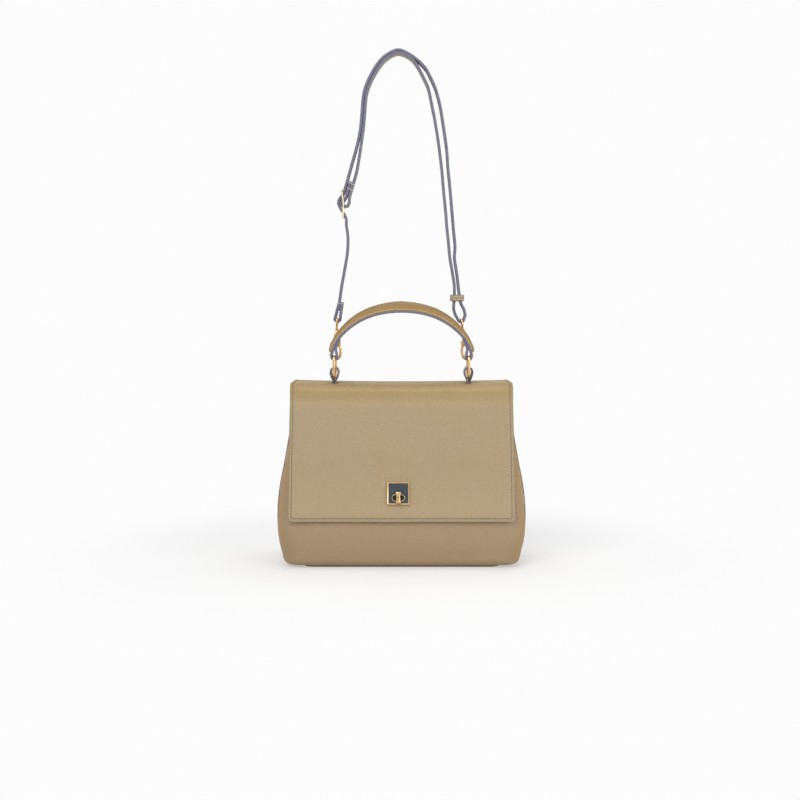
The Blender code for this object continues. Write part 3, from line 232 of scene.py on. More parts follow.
def leatherPaint(name, colour, pebble=leather["pebble"], relief=leather["relief"],
                 stitchLine=None, bands=(), flank=None):
    # pebbled, finished leather, with a pressed line beside a row of stitches, and painted
    # light and shade: other colours further up, each blended in between two heights, and one by
    # the attribute flank
    paint = Paint(name, leather["roughness"])
    spot = paint.place((1.35, 1.0, 0.9), leather["lie"])
    drift = paint.noise(spot, pebble * 2.6, output="Color")
    wander = paint.node("ShaderNodeVectorMath", {"operation": "SCALE"},
                        {0: drift, "Scale": pebble * 1.1})
    bent = paint.node("ShaderNodeVectorMath", {"operation": "ADD"}, [spot, wander])
    pebbles = paint.between(paint.cells(bent, pebble), 0.02, 0.30)
    small = paint.between(paint.cells(bent, pebble * 0.45), 0.0, 0.35)
    pores = paint.noise(spot, pebble * 0.16)
    cloud = paint.noise(spot, 38, 3, 0.6)
    patch = paint.noise(spot, 9)
    height = pebbles * 0.68 + small * 0.2 + pores * 0.12
    base = linear(colour)
    skin = paint.blend(pebbles * 0.75 + small * 0.25, shade(base, leather["crease"]), base)
    # warmer in slow patches
    skin = paint.tint(paint.between(cloud * 0.65 + patch * 0.35, 0.40, 0.64), skin,
                      (1.015, 1.0, 0.97))
    below = base
    # painted light and shade: a colour for each band of height
    for low, high, above in bands:
        upright = paint.parts(paint.place())[2]
        above = linear(above)
        skin = paint.tint(paint.between(upright + cloud * 6, low, high), skin,
                          [a / b for a, b in zip(above, below)])
        below = above
    # painted light and shade: the flank colour where the attribute flank is 1
    if flank:
        skin = paint.tint(paint.attribute("flank"), skin,
                          [a / b for a, b in zip(linear(flank), base)])
    if stitchLine:
        gap = paint.attribute("rimGap")
        groove = paint.between((gap - stitchLine).maths("ABSOLUTE"), 0.2, 0.85)
        rim = paint.between(gap, 0.1, 1.3)
        height = height * 0.45 + groove * 0.4 + rim * 0.15
        skin = paint.blend(groove * 0.25 + 0.75, shade(base, 0.55), skin)
    paint.feed("Base Color", skin)
    paint.feed("Roughness", leather["roughness"] + 0.16 - pebbles * 0.13 - cloud * 0.07)
    paint.bump(height, relief * (2.2 if stitchLine else 1.0))
    return paint.material


def edgePaint(name):
    # the painted cut edge: satin, a little uneven, with the line where two hides meet
    paint = Paint(name, 0.42)
    spot = paint.place()
    wave = paint.noise(spot, 2.4, 3)
    speck = paint.noise(spot, 0.5)
    join = paint.between(paint.attribute("layer").maths("ABSOLUTE"), 0.0, 0.32)
    base = linear(leather["edge"])
    skin = paint.tones(wave, 0.35, 0.65, base, 0.82, 1.12)
    paint.feed("Base Color", paint.blend(join * 0.4 + 0.6, shade(base, 0.5), skin))
    paint.feed("Roughness", 0.36 + speck * 0.16)
    paint.bump(wave * 0.4 + speck * 0.15 + join * 0.45, 0.10)
    return paint.material


def threadPaint(name, colour):
    paint = Paint(name, 0.62)
    twist = paint.noise(paint.place(), 0.45)
    paint.feed("Base Color", paint.tones(twist, 0.35, 0.65, linear(colour), 0.72, 1.15))
    paint.bump(twist, 0.06)
    return paint.material


def goldPaint(name, colour=metal["gold"], roughness=metal["roughness"]):
    # polished plating with faint polishing marks and a softer sheen in places
    paint = Paint(name, roughness, 1.0)
    haze = paint.noise(paint.place(), 7, 3)
    marks = paint.noise(paint.place((1, 1, 4)), 0.5, 3, 0.6)
    base = linear(colour)
    dull = [c * share for c, share in zip(base, (0.93, 0.9, 0.84))]
    skin = paint.blend(paint.between(haze, 0.3, 0.7), dull, base)
    # darker deep in corners by ambient occlusion: grime, and painted shade
    light = paint.node("ShaderNodeAmbientOcclusion", {"samples": 8}, {"Distance": 5 * mm}, "AO")
    paint.feed("Base Color", paint.blend(paint.between(light, 0.15, 0.85),
                                         shade(base, metal["grimeAndShade"]), skin))
    paint.feed("Roughness", roughness - 0.03 + haze * 0.08 + marks * 0.05)
    paint.bump(marks, 0.012)
    return paint.material


def platePaint(name):
    # the lock's dark face, a glossy lacquer over metal
    paint = Paint(name, 0.2, 0.55)
    haze = paint.noise(paint.place(), 6)
    paint.feed("Base Color", paint.tones(haze, 0.3, 0.7, linear(metal["plate"]), 0.85, 1.2))
    paint.feed("Roughness", 0.14 + haze * 0.12)
    paint.feed("Coat Weight", 0.6)
    return paint.material


def clothPaint(name, colour, thread):
    # plain woven lining: two crossing sets of threads, with a soft uneven tone
    paint = Paint(name, 0.86)
    spot = paint.place()
    x, y, z = paint.parts(spot)
    warp = ((x + y) * (2 * pi / thread)).maths("SINE")
    weft = (z * (2 * pi / thread)).maths("SINE")
    weave = (warp * weft) * 0.25 + 0.5 + (warp + weft) * 0.06
    slub = paint.noise(spot, 3.5, 3)
    paint.feed("Base Color", paint.tones(weave * 0.6 + slub * 0.4, 0.3, 0.75, linear(colour),
                                         0.66, 1.12))
    paint.feed("Roughness", 0.78 + slub * 0.12)
    paint.bump(weave * 0.7 + slub * 0.3, 0.09)
    return paint.material


# painted light and shade on the flap: paler towards its lower edge, more ochre over the bend and
# darker over the top
tanHide = leatherPaint("flap leather", leather["hem"], stitchLine=leather["seamIn"],
                       bands=((66, 140, leather["tan"]), (198, 225, leather["ridge"]),
                              (221, 234, leather["crown"])))
# painted light: the body's flanks more ochre
bodyHide = leatherPaint("body leather", leather["lowerTan"], flank=leather["flank"])
strapHide = leatherPaint("strap leather", leather["tan"], 1.5, 0.09)
# painted shade: the handle darker over its top
handleHide = leatherPaint("handle leather", leather["handle"], 2.6, 0.05,
                          flank=leather["handleTop"])
innerHide = leatherPaint("inner leather", leather["lowerTan"], 1.2, 0.07)
edge = edgePaint("painted edge")
darkThread = threadPaint("dark thread", leather["thread"])
paleThread = threadPaint("pale thread", leather["paleThread"])
gold = goldPaint("light gold")
# the oval rim's paler gold is partly a painted highlight
paleGold = goldPaint("pale gold", metal["paleGold"], 0.2)
# painted shade: the darker gold stands for metal in the lock's recesses
recess = goldPaint("gold in a recess", metal["recess"], 0.4)
darkPlate = platePaint("dark plate")
cloth = clothPaint("lining cloth", leather["lining"], 0.55)
tapeCloth = clothPaint("zip tape", leather["tape"], 0.8)
print("finishes ready")


# Reading the frame

def cadPoints(node):
    return np.array([v.co for v in cadMesh(node).vertices], float) * 1000


def opened(mesh):
    bm = bmesh.new()
    bm.from_mesh(mesh)
    return bm


def cadMesh(node):
    return frame["nodes"][node].data


def boxOf(node):
    low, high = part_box(node)
    return low * 1000, high * 1000


def reachAt(node, z):
    # lowest and highest (x, y) where the CAD node crosses a height
    mesh = cadMesh(node)
    mesh.calc_loop_triangles()
    corners = np.array([t.vertices[:] for t in mesh.loop_triangles])
    spots = cadPoints(node)[corners]
    found = []
    for i, j in ((0, 1), (1, 2), (2, 0)):
        a, b = spots[:, i], spots[:, j]
        crossing = (a[:, 2] - z) * (b[:, 2] - z) < 0
        a, b = a[crossing], b[crossing]
        share = ((z - a[:, 2]) / (b[:, 2] - a[:, 2]))[:, None]
        found.append((a + (b - a) * share)[:, :2])
    spots = np.vstack(found)
    return spots.min(0), spots.max(0)


def centreLine(node):
    # the middle line of a CAD strip in (x, z), read round the rim of its near edge
    tiny = 0.02 * mm
    bm = opened(cadMesh(node))
    bmesh.ops.remove_doubles(bm, verts=bm.verts, dist=tiny)
    near = min(v.co.y for v in bm.verts)
    flat = {f for f in bm.faces if all(abs(v.co.y - near) < tiny for v in f.verts)}
    beside = {}
    for e in bm.edges:
        if sum(f in flat for f in e.link_faces) == 1:
            a, b = e.verts
            beside.setdefault(a, []).append(b)
            beside.setdefault(b, []).append(a)
    start = here = next(iter(beside))
    last, rim = None, []
    while here is not start or not rim:
        rim.append((here.co.x * 1000, here.co.z * 1000))
        last, here = here, [v for v in beside[here] if v is not last][0]
    bm.free()
    # the two ends are where the rim folds on itself with its sides closest
    rim = np.array(rim)
    count = len(rim)
    steps = np.arange(count // 2)
    best = None
    for turn in range(count):
        one, other = rim[(turn + steps) % count], rim[(turn - 1 - steps) % count]
        wide = np.linalg.norm(one - other, axis=1).max()
        if best is None or wide < best[0]:
            best = (wide, (one + other) / 2)
    return best[1]


def catmull(p0, p1, p2, p3, t):
    return 0.5 * (2 * p1 + (p2 - p0) * t + (2 * p0 - 5 * p1 + 4 * p2 - p3) * t**2
                  + (3 * p1 - p0 - 3 * p2 + p3) * t**3)


def around(points, i):
    # the point i with those before and after it, for a smooth curve on to the next
    return [points[min(max(k, 0), len(points) - 1)] for k in (i - 1, i, i + 1, i + 2)]


def runOf(spots):
    # how far along the line each of its points lies
    return np.concatenate([[0], np.cumsum(np.linalg.norm(np.diff(spots, axis=0), axis=1))])


def spread(spots, count):
    # the same line in this many even steps
    run = runOf(spots)
    even = np.linspace(0, run[-1], count + 1)
    return np.stack([np.interp(even, run, column) for column in spots.T], axis=1)


def evenLine(points, step):
    spots = np.array(points, float)
    return spread(spots, max(int(runOf(spots)[-1] / step), 1))


def smoothLine(points, step):
    # the same line as a smooth curve, in even steps of about this length
    spots = [np.array(p, float) for p in points]
    fine = [catmull(*around(spots, i), t / 8) for i in range(len(spots) - 1) for t in range(8)]
    fine = np.array(fine + [spots[-1]])
    return spread(fine, max(round(runOf(fine)[-1] / step), 2))


def smoothStep(t):
    t = min(max(t, 0.0), 1.0)
    return t * t * (3 - 2 * t)


def hump(away, reach):
    # 1 in the middle, falling off smoothly over this reach
    return exp(-((away / reach) ** 2))


def arcPoints(centre, radius, start, end, steps):
    turns = [radians(start + (end - start) * i / steps) for i in range(steps + 1)]
    return [(centre[0] + radius * cos(a), centre[1] + radius * sin(a)) for a in turns]


def roundLoop(low, high, radius, steps=8):
    # a rectangle with round corners, anticlockwise from its upper right one
    right, top, left, foot = high[0] - radius, high[1] - radius, low[0] + radius, low[1] + radius
    corners = ((right, top, 0), (left, top, 90), (left, foot, 180), (right, foot, 270))
    return [p for x, y, start in corners
            for p in arcPoints((x, y), radius, start, start + 90, steps)]


def roundRect(halfX, halfY, radius, steps=6):
    return roundLoop((-halfX, -halfY), (halfX, halfY), radius, steps)


# The body's outline, read from the CAD panels at even heights

body = {
    "corner": 24.0,         # radius of the upright corners
    "turn": 9.0,            # radius where the walls turn under
    "under": 24.0,          # width of wall lying on the base
    "seam": 5.0,            # the panels wrap this far past the corner
    "hide": 2.2,
    "fold": 8.0,            # depth of the gusset's fold at the mouth
    "foldFrom": 95.0,
    "belly": 1.5,           # how far the front swells under the flap's end
    "bellyAt": 33.0,
    "wave": 0.55,
    "press": 0.8,           # how far the front is pressed in under the flap
    "cornerDip": 1.3,
    "crease": 1.1,          # depth of the creases beside the lower corners
    "flankIn": 15.0,        # the flank's painted light begins this far inside the widest point
    "welt": 1.3,
}
panelLow, panelHigh = boxOf("front_panel")
bottom, mouth = panelLow.z, panelHigh.z
foot = bottom + body["turn"]
reaches = []
for level in np.linspace(foot, mouth, 12):
    z = min(max(level, foot + 0.05), mouth - 0.05)
    front, rear = reachAt("front_panel", z), reachAt("back_panel", z)
    reaches.append((front[1][0], -front[0][1], rear[1][1]))
reaches = np.array(reaches)


def wallAt(z):
    # half width, front depth and rear depth of the CAD body at a height
    spot = (min(max(z, foot), mouth) - foot) / (mouth - foot) * (len(reaches) - 1)
    i = min(int(spot), len(reaches) - 2)
    return catmull(*around(reaches, i), spot - i)


def foldAt(z):
    return body["fold"] * smoothStep((z - body["foldFrom"]) / (mouth - body["foldFrom"]))


def bodyRing(z, inset=0.0, pouch=False):
    # one closed ring of the body, anticlockwise from the middle of the front
    half, front, rear = wallAt(z) - inset
    r = max(body["corner"] - inset, 2.0)
    flat = half - r
    right = [(flat * i / 20, -front) for i in range(20)]
    right += arcPoints((flat, r - front), r, -90, 0, 9)
    first, last = r + body["seam"] - front, rear - r - body["seam"]
    for t in np.linspace(0, 1, 17):
        share = max(1 - (2 * t - 1) ** 2, 0.0)
        share = min(share * 3, 1.0) if pouch else share * share
        right.append((half - foldAt(z) * share, first + (last - first) * t))
    right += arcPoints((flat, rear - r), r, 0, 90, 9)
    right += [(flat * (1 - i / 20), rear) for i in range(1, 21)]
    return right + [(-x, y) for x, y in reversed(right[1:-1])]


def bodyRows(levels, pouch=False):
    # the body's rings at pairs of a height and an inset
    return [[(x, y, z) for x, y in bodyRing(z, inset, pouch)] for z, inset in levels]


# Mesh makers

def addObject(name, data):
    obj = bpy.data.objects.new(name, data)
    bpy.context.scene.collection.objects.link(obj)
    return obj


def newPiece(name, bm, finishes, solid=True):
    # a solid's faces are all turned outwards
    if solid:
        bmesh.ops.recalc_face_normals(bm, faces=bm.faces)
    mesh = bpy.data.meshes.new(name)
    bm.to_mesh(mesh)
    bm.free()
    mesh.shade_smooth()
    for finish in finishes:
        mesh.materials.append(finish)
    return addObject(name, mesh)


def joinRings(bm, rings, closed=True):
    # the faces from each ring of points to the next, each with its place in the ring
    return [(k, bm.faces.new((low[k], low[k + 1 - len(low)], high[k + 1 - len(low)], high[k])))
            for low, high in zip(rings, rings[1:])
            for k in range(len(low) if closed else len(low) - 1)]


def gridPiece(name, rows, finishes, closed=False, fill=False):
    # a surface through rows of points, in millimetres, facing out of the bag
    bm = bmesh.new()
    rings = [[bm.verts.new(Vector(p) * mm) for p in row] for row in rows]
    joinRings(bm, rings, closed)
    if fill:
        bm.faces.new(rings[0][::-1])
    return newPiece(name, bm, finishes, solid=False)


def sweptPiece(name, rings, finishes, flat=None, marks=(), mark="layer", looped=False):
    # a solid through rings of points. Marks are the ring's values of an attribute, and flat
    # its faces in the first finish, with the others in the last
    bm = bmesh.new()
    field = bm.verts.layers.float.new(mark) if marks else None
    made = []
    for ring in rings:
        made.append([bm.verts.new(Vector(p) * mm) for p in ring])
        for vert, value in zip(made[-1], marks):
            vert[field] = value
    last = len(finishes) - 1
    for k, face in joinRings(bm, made + made[:looped]):
        face.material_index = 0 if flat is None or k in flat else last
    if not looped:
        for ring in (made[0], made[-1]):
            bm.faces.new(ring).material_index = last
    return newPiece(name, bm, finishes)


def modify(obj, kind, **settings):
    return setAll(obj.modifiers.new(kind.lower(), kind), settings)


def plainMesh(obj):
    # the mesh that shows, with the object's modifiers in it
    bpy.context.view_layer.update()
    graph = bpy.context.evaluated_depsgraph_get()
    return bpy.data.meshes.new_from_object(obj.evaluated_get(graph))


def settle(obj):
    mesh = plainMesh(obj)
    obj.modifiers.clear()
    obj.data = mesh


def thicken(obj, thick, **finishes):
    # gives a surface its thickness, inwards
    modify(obj, "SOLIDIFY", thickness=thick * mm, offset=-1.0, use_even_offset=True, **finishes)
    settle(obj)


def swell(obj, amount):
    # moves each point along its normal by amount(x, y, z, normal), in millimetres
    mesh = obj.data
    moves = [v.normal * amount(*(v.co * 1000), v.normal) * mm for v in mesh.vertices]
    for v, move in zip(mesh.vertices, moves):
        v.co += move


def setAttribute(obj, name, value):
    # value(x, y, z) at each point, in millimetres
    made = obj.data.attributes.new(name, "FLOAT", "POINT")
    made.data.foreach_set("value", [value(*(v.co * 1000)) for v in obj.data.vertices])


def oneLayer(x, y, z):
    # keeps the line between two hides off a cut edge of one
    return 0.6


def dress(obj, bodyName, slotName, *nodes):
    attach(obj, bodyName)
    if nodes:
        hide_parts(*nodes)


def unrest(x, y, z, size, seed):
    # slow, even noise between -1 and 1
    return noise.noise(Vector((x / size + seed, y / size, z / size)))


def placeAt(middle, right, up, out):
    # a place with its own axes, for what stands askew
    turn = Matrix((tuple(right), tuple(up), tuple(out))).transposed().to_4x4()
    return Matrix.Translation(Vector(middle) * mm) @ turn


def put(place, *spot):
    # a point on the place's own axes, as one of the scene's
    return tuple((place @ (Vector(spot) * mm)) / mm)


def pointsIn(place, node):
    # a CAD node's points on the place's own axes
    back = place.inverted()
    return np.array([put(back, *p) for p in cadPoints(node)])


# Curves: plain tubes, and rows of stitches or teeth by geometry nodes

def rowTree(name, sockets, bead):
    # lays what bead makes along a curve, at an even pitch and in one finish
    tree = bpy.data.node_groups.new(name, "GeometryNodeTree")
    tree.interface.new_socket("Geometry", in_out="OUTPUT", socket_type="NodeSocketGeometry")
    for socket, kind in (("Geometry", "Geometry"), ("Pitch", "Float"), ("Finish", "Material"),
                         *sockets):
        tree.interface.new_socket(socket, in_out="INPUT", socket_type="NodeSocket" + kind)

    def node(kind, links=(), **settings):
        made = setAll(tree.nodes.new(kind), settings)
        for key, source in dict(links).items():
            if isinstance(source, bpy.types.NodeSocket):
                tree.links.new(source, made.inputs[key])
            else:
                made.inputs[key].default_value = source
        return made.outputs

    given = node("NodeGroupInput")
    even = node("GeometryNodeResampleCurve", {"Curve": given["Geometry"],
                                              "Length": given["Pitch"]}, mode="LENGTH")
    laid = node("GeometryNodeInstanceOnPoints", {"Points": even[0], **bead(node, given)})
    real = node("GeometryNodeRealizeInstances", {"Geometry": laid[0]})
    done = node("GeometryNodeSetMaterial", {"Geometry": real[0], "Material": given["Finish"]})
    node("NodeGroupOutput", {"Geometry": done[0]})
    return tree


def stitchBead(node, given):
    turn = node("FunctionNodeAlignRotationToVector",
                {"Vector": node("GeometryNodeInputTangent")[0]}, axis="Z")
    ball = node("GeometryNodeMeshUVSphere", {"Segments": 6, "Rings": 4, "Radius": 0.5})
    size = node("ShaderNodeCombineXYZ", {"X": given["Thread"], "Y": given["Thread"],
                                         "Z": given["Length"]})
    return {"Instance": ball["Mesh"], "Rotation": turn[0], "Scale": size[0]}


def toothBead(node, given):
    return {"Instance": node("GeometryNodeMeshCube", {"Size": given["Tooth"]})["Mesh"]}


stitchNodes = rowTree("stitch row", (("Length", "Float"), ("Thread", "Float")), stitchBead)
toothNodes = rowTree("tooth row", (("Tooth", "Vector"),), toothBead)


def curveMesh(lines, tree=None, values=None, closed=False, **settings):
    # the lines, in millimetres, as one mesh: rows laid by the tree, or tubes
    curve = setAll(bpy.data.curves.new("guide", "CURVE"), {"dimensions": "3D", **settings})
    for line in lines:
        spline = curve.splines.new("POLY")
        spline.points.add(len(line) - 1)
        for point, spot in zip(spline.points, line):
            point.co = (*(Vector(spot) * mm), 1.0)
        spline.use_cyclic_u = closed
    guide = addObject("guide", curve)
    if tree:
        rows = modify(guide, "NODES", node_group=tree)
        for item in tree.interface.items_tree:
            if item.name in values:
                rows[item.identifier] = values[item.name]
    mesh = plainMesh(guide)
    bpy.data.objects.remove(guide, do_unlink=True)
    return mesh


def stitches(name, lines, bodyName, finish=darkThread, pitch=stitch["pitch"],
             thread=stitch["thread"]):
    # one mesh of stitches along all the lines
    length = stitch["length"] * pitch / stitch["pitch"]
    mesh = curveMesh(lines, stitchNodes, {"Pitch": pitch * mm, "Thread": thread * mm,
                                          "Length": length * mm, "Finish": finish})
    mesh.shade_smooth()
    dress(addObject(name, mesh), bodyName, "edge_leather")


def tubes(name, lines, wire, finish, bodyName, slotName, *nodes, closed=False, sides=3):
    bm = opened(curveMesh(lines, closed=closed, bevel_depth=wire / 2 * mm,
                          bevel_resolution=sides, use_fill_caps=True))
    bmesh.ops.remove_doubles(bm, verts=bm.verts, dist=1e-7)
    dress(newPiece(name, bm, [finish]), bodyName, slotName, *nodes)


# Body

def bodyLevels():
    # pairs of a height and an inset, from under the base up to the mouth
    turn, under = body["turn"], body["under"]
    return [(bottom, turn + under), (bottom, turn + under / 2)] \
        + [(foot - turn * cos(radians(a)), turn - turn * sin(radians(a)))
           for a in range(0, 91, 15)] \
        + [(foot + (mouth - foot) * i / 48, 0.0) for i in range(1, 49)]


def bodyEase(x, y, z, normal):
    # the hide's own ease: a belly low in front and rear, and slow waves everywhere
    low = hump(z - body["bellyAt"], 19) * max(1 - (x / 150) ** 2, 0.0)
    flatness = abs(normal.y)
    underFlap = smoothStep((z - 52) / 14) * (y < 0)
    waves = body["wave"] * unrest(x, y, z, 46, 3) + 0.25 * unrest(x, y, z, 19, 11)
    corner = (1 - flatness) * flatness * 4 * hump(z - 10, 16)
    # two creases that run up from the lower corners, leaning inwards
    tuck = wallAt(z)[0] - abs(x) - 9 - 0.16 * z + 1.6 * unrest(0, y, z, 24, 8)
    crease = hump(tuck, 5.5) * smoothStep((z - 3) / 6) * smoothStep((62 - z) / 40)
    keep = smoothStep((z - bottom) / 12) * (1 - 0.8 * smoothStep((z - mouth + 25) / 25))
    return (body["belly"] * low * flatness + waves - body["press"] * underFlap
            - body["cornerDip"] * corner - body["crease"] * crease) * keep


def makeBody():
    shell = gridPiece("body-shell", bodyRows(bodyLevels()), [bodyHide, edge], closed=True)
    swell(shell, bodyEase)
    thicken(shell, body["hide"], material_offset_rim=1)
    setAttribute(shell, "layer", oneLayer)
    # painted light: the flank colour, towards the body's widest sides
    setAttribute(shell, "flank", lambda x, y, z: smoothStep(
        (abs(x) - wallAt(z)[0] + body["flankIn"]) / 11))
    dress(shell, "bag_body", "tan_leather", "front_panel", "back_panel", "gusset_left",
          "gusset_right")
    # painted welts where the panels are sewn to the gussets, and stitches beside them
    welts, seams = [], []
    for side, end in ((-1, -1), (-1, 1), (1, -1), (1, 1)):
        line, beside = [], []
        for z, inset in bodyLevels()[1:]:
            half, front, rear = wallAt(z) - inset
            deep = (front if end < 0 else rear) - max(body["corner"] - inset, 2.0)
            y = end * (deep - body["seam"])
            line.append((side * (half + 0.1), y, z - (0.1 if inset else 0.0)))
            beside.append((side * (half + 0.25), y + end * 3.0, z))
        welts.append(line)
        seams.append(beside[8:])
    tubes("seam-welts", welts, body["welt"], innerHide, "bag_body", "tan_leather")
    stitches("seam-stitches", seams, "bag_body")


makeBody()
print("body made")


# Pieces laid on others

def surface(obj):
    bm = opened(obj.data)
    tree = BVHTree.FromBMesh(bm)
    bm.free()
    return tree


def layOn(tree, line, facing=None):
    # the line moved on to a surface, standing a little proud of it
    laid = []
    for spot in line:
        found, normal, _, _ = tree.find_nearest(Vector(spot) * mm)
        if facing is not None and normal.dot(Vector(facing)) < 0:
            normal = -normal
        laid.append(tuple((found + normal * stitch["above"] * mm) * 1000))
    return laid


# Flap

chape = {
    "thick": 1.8,
    "leg": 1.5,             # from the chape's middle to the middle of each leg
    "slit": (1.3, 14.4),    # half the slit in the flap that each leg comes through
    "rowIn": 2.6,
    "pitch": 2.6,
}
flap = {
    "ridge": 14.0,          # radius of the bend over the front of the mouth
    "corner": 5.0,
    "wave": 0.5,            # slow unevenness of the hanging leather
    "dip": 0.6,             # how far the top sinks beside each ring
    "pinch": 0.55,          # depth of the fold that hangs from each ring
    "sag": 3.3,             # how far the top sinks between the corners
    "hide": 3.6,            # both hides of the flap, sewn together
    "hemAt": 66.0,          # height round which the lower edge waves a little
    "hemWave": 0.35,
    "slotPlay": 0.6,
}
flapLow, flapHigh = boxOf("flap_leather")
hinge = Vector(joints["flap_open"]["pos_m"]) * 1000
chapeX = (boxOf("chape_right")[0].x + boxOf("chape_right")[1].x) / 2


def flapPath():
    # (y, z) along the flap's outside, from the fold behind the hinge to its lower end
    rear = max(p[1] for p in cadPoints("flap_leather") if p[2] > flapHigh.z - 3)
    reach = flapHigh.z - hinge.z
    start = degrees(asin(min((rear - hinge.y) / reach, 1.0)))
    ridgeZ = flapHigh.z - flap["ridge"]
    front = [(reachAt("flap_leather", z)[0][1], z)
             for z in np.linspace(ridgeZ - 8, flapLow.z + 0.05, 26)]
    lean = atan2(front[0][0] - front[3][0], front[0][1] - front[3][1])
    ridgeY = front[0][0] + flap["ridge"] - 8 * sin(lean) * 0.5
    path = [(hinge.y + reach * sin(radians(a)), hinge.z + reach * cos(radians(a)))
            for a in np.linspace(start, 0, 5)]
    path += [(hinge.y + (ridgeY - hinge.y) * i / 6, flapHigh.z) for i in range(1, 6)]
    path += arcPoints((ridgeY, ridgeZ), flap["ridge"], 90, 180 - degrees(lean), 10)
    return evenLine(smoothLine(path + front, 1.2), 2.3)


flapLine = flapPath()
flapRun = runOf(flapLine)


def flapAt(left):
    # (y, z) on the flap's outside where this much of it is left below
    return [np.interp(flapRun[-1] - left, flapRun, column) for column in flapLine.T]


def flapLeft(y, z):
    # how much of the flap is left below a point
    nearest = np.argmin((flapLine[:, 0] - y) ** 2 + (flapLine[:, 1] - z) ** 2)
    return flapRun[-1] - flapRun[nearest]


def flapHalf(left):
    # half width of the flap where this much of it is left below
    r = flap["corner"]
    away = max(r - left, 0.0)
    return flapHigh.x - r + (r * r - away * away) ** 0.5


def flapEase(x, y, z, normal):
    # the hanging leather: slow waves, hollows beside the rings and a pinch under each
    drop = smoothStep((flapHigh.z - 6 - z) / 40)
    ease = flap["wave"] * drop * (unrest(x, y, z, 52, 7) + 0.4 * unrest(x, y, z, 23, 2))
    top = smoothStep((z - flapHigh.z + 14) / 12) * smoothStep((26 - y) / 16)
    reach = hump(z - flapHigh.z + 15, 13) * (y < 0)
    for side in (-1, 1):
        off = x - side * chapeX
        fold = off - side * (flapHigh.z - z) * 0.10
        ease -= flap["dip"] * hump(off, 17) * top + flap["pinch"] * hump(fold, 3.4) * reach
    return ease + flap["hemWave"] * hump(z - flap["hemAt"], 9) * unrest(x, 0, 0, 31, 5)


def sagTop(obj):
    # the flap's top sinks between its corners, and the tail's upper end goes with it
    for v in obj.data.vertices:
        across = 0.4 + 0.6 * (1 - (v.co.x / flapHigh.x / mm) ** 2)
        v.co.z -= flap["sag"] * across * smoothStep((v.co.z / mm - flapHigh.z + 16) / 12) * mm


def rowAcross(half, steps, y, z):
    return [(half * (1 - k / steps), y, z) for k in range(2 * steps + 1)]


def rimGap(x, left):
    # distance from the flap's cut edge, round its corners too
    side, r = flapHigh.x - abs(x), flap["corner"]
    if side < r and left < r:
        return r - ((r - side) ** 2 + (r - left) ** 2) ** 0.5
    return min(side, left)


def cut(obj, outline, place, low, high):
    # a hole of this outline, along the place's own Z
    rings = [[put(place, x, y, z) for x, y in outline] for z in (low, high)]
    tool = sweptPiece("cutter", rings, [edge])
    modify(obj, "BOOLEAN", operation="DIFFERENCE", solver="EXACT", object=tool)
    settle(obj)
    bpy.data.objects.remove(tool, do_unlink=True)


def lockPlace(height=None):
    # the lock's own axes: its face lies in XY and looks out along Z
    low, high = boxOf("lock_frame")
    x, y, z = (low + high) / 2
    out = Vector(joints["knob_turn"]["axis"]).normalized()
    right = Vector((1, 0, 0))
    return placeAt((x, y, z if height is None else height), right, out.cross(right), out)


def makeFlap():
    corner = flap["corner"]
    lefts = [flapRun[-1] - run for run in flapRun if run < flapRun[-1] - corner]
    lefts += [corner * (1 - share) for share in (0, .3, .55, .75, .9, .97, 1)]
    rows = [rowAcross(flapHalf(left), 58, *flapAt(left)) for left in lefts]
    skin = gridPiece("flap", rows, [tanHide, innerHide, edge])
    swell(skin, flapEase)
    sagTop(skin)
    thicken(skin, flap["hide"], material_offset=1, material_offset_rim=2)
    # an oval slot for the knob, and two slits for each chape
    rimLow, rimHigh = boxOf("lock_oval_rim")
    length = rimHigh.x - rimLow.x + flap["slotPlay"]
    r = length * 0.52 / 2
    right = arcPoints((length / 2 - r, 0), r, -90, 90, 12)
    cut(skin, right + [(-x, -y) for x, y in right], lockPlace((rimLow.z + rimHigh.z) / 2),
        -14, 14)
    halfX, halfY = chape["slit"]
    box = [(-halfX, -halfY), (halfX, -halfY), (halfX, halfY), (-halfX, halfY)]
    for side in (-1, 1):
        for leg in (-1, 1):
            spot = Vector((side * chapeX + leg * chape["leg"], 0, flapHigh.z)) * mm
            cut(skin, box, Matrix.Translation(spot), -9, 6)
    setAttribute(skin, "rimGap", lambda x, y, z: rimGap(x, flapLeft(y, z)))
    setAttribute(skin, "layer", lambda x, y, z: 0.5)
    dress(skin, "flap", "tan_leather", "flap_leather", "flap_lining")
    # stitches down both sides and along the lower end
    inset, bend = leather["seamIn"], 1.6
    edgeX, end = flapHigh.x - inset, flapRun[-1]
    half = [(edgeX, end - run) for run in evenLine([(3.0,), (end - inset - bend,)], 1.5)[:, 0]]
    half += arcPoints((edgeX - bend, inset + bend), bend, 0, -90, 5)
    half += [(x, inset) for x in np.linspace(edgeX - bend, 0, 60)[1:]]
    line = []
    for x, left in half + [(-x, left) for x, left in reversed(half[:-1])]:
        y, z = flapAt(left)
        line.append((x, y - 0.6, z + 0.3))
    stitches("flap-stitches", [layOn(surface(skin), line)], "flap")


makeFlap()
print("flap made")


# The flap's tail: sewn on the back, then bending up and over into the flap

tail = {"hide": 2.2, "corner": 4.0, "stitchIn": 3.6, "rows": 2, "apart": 4.2}


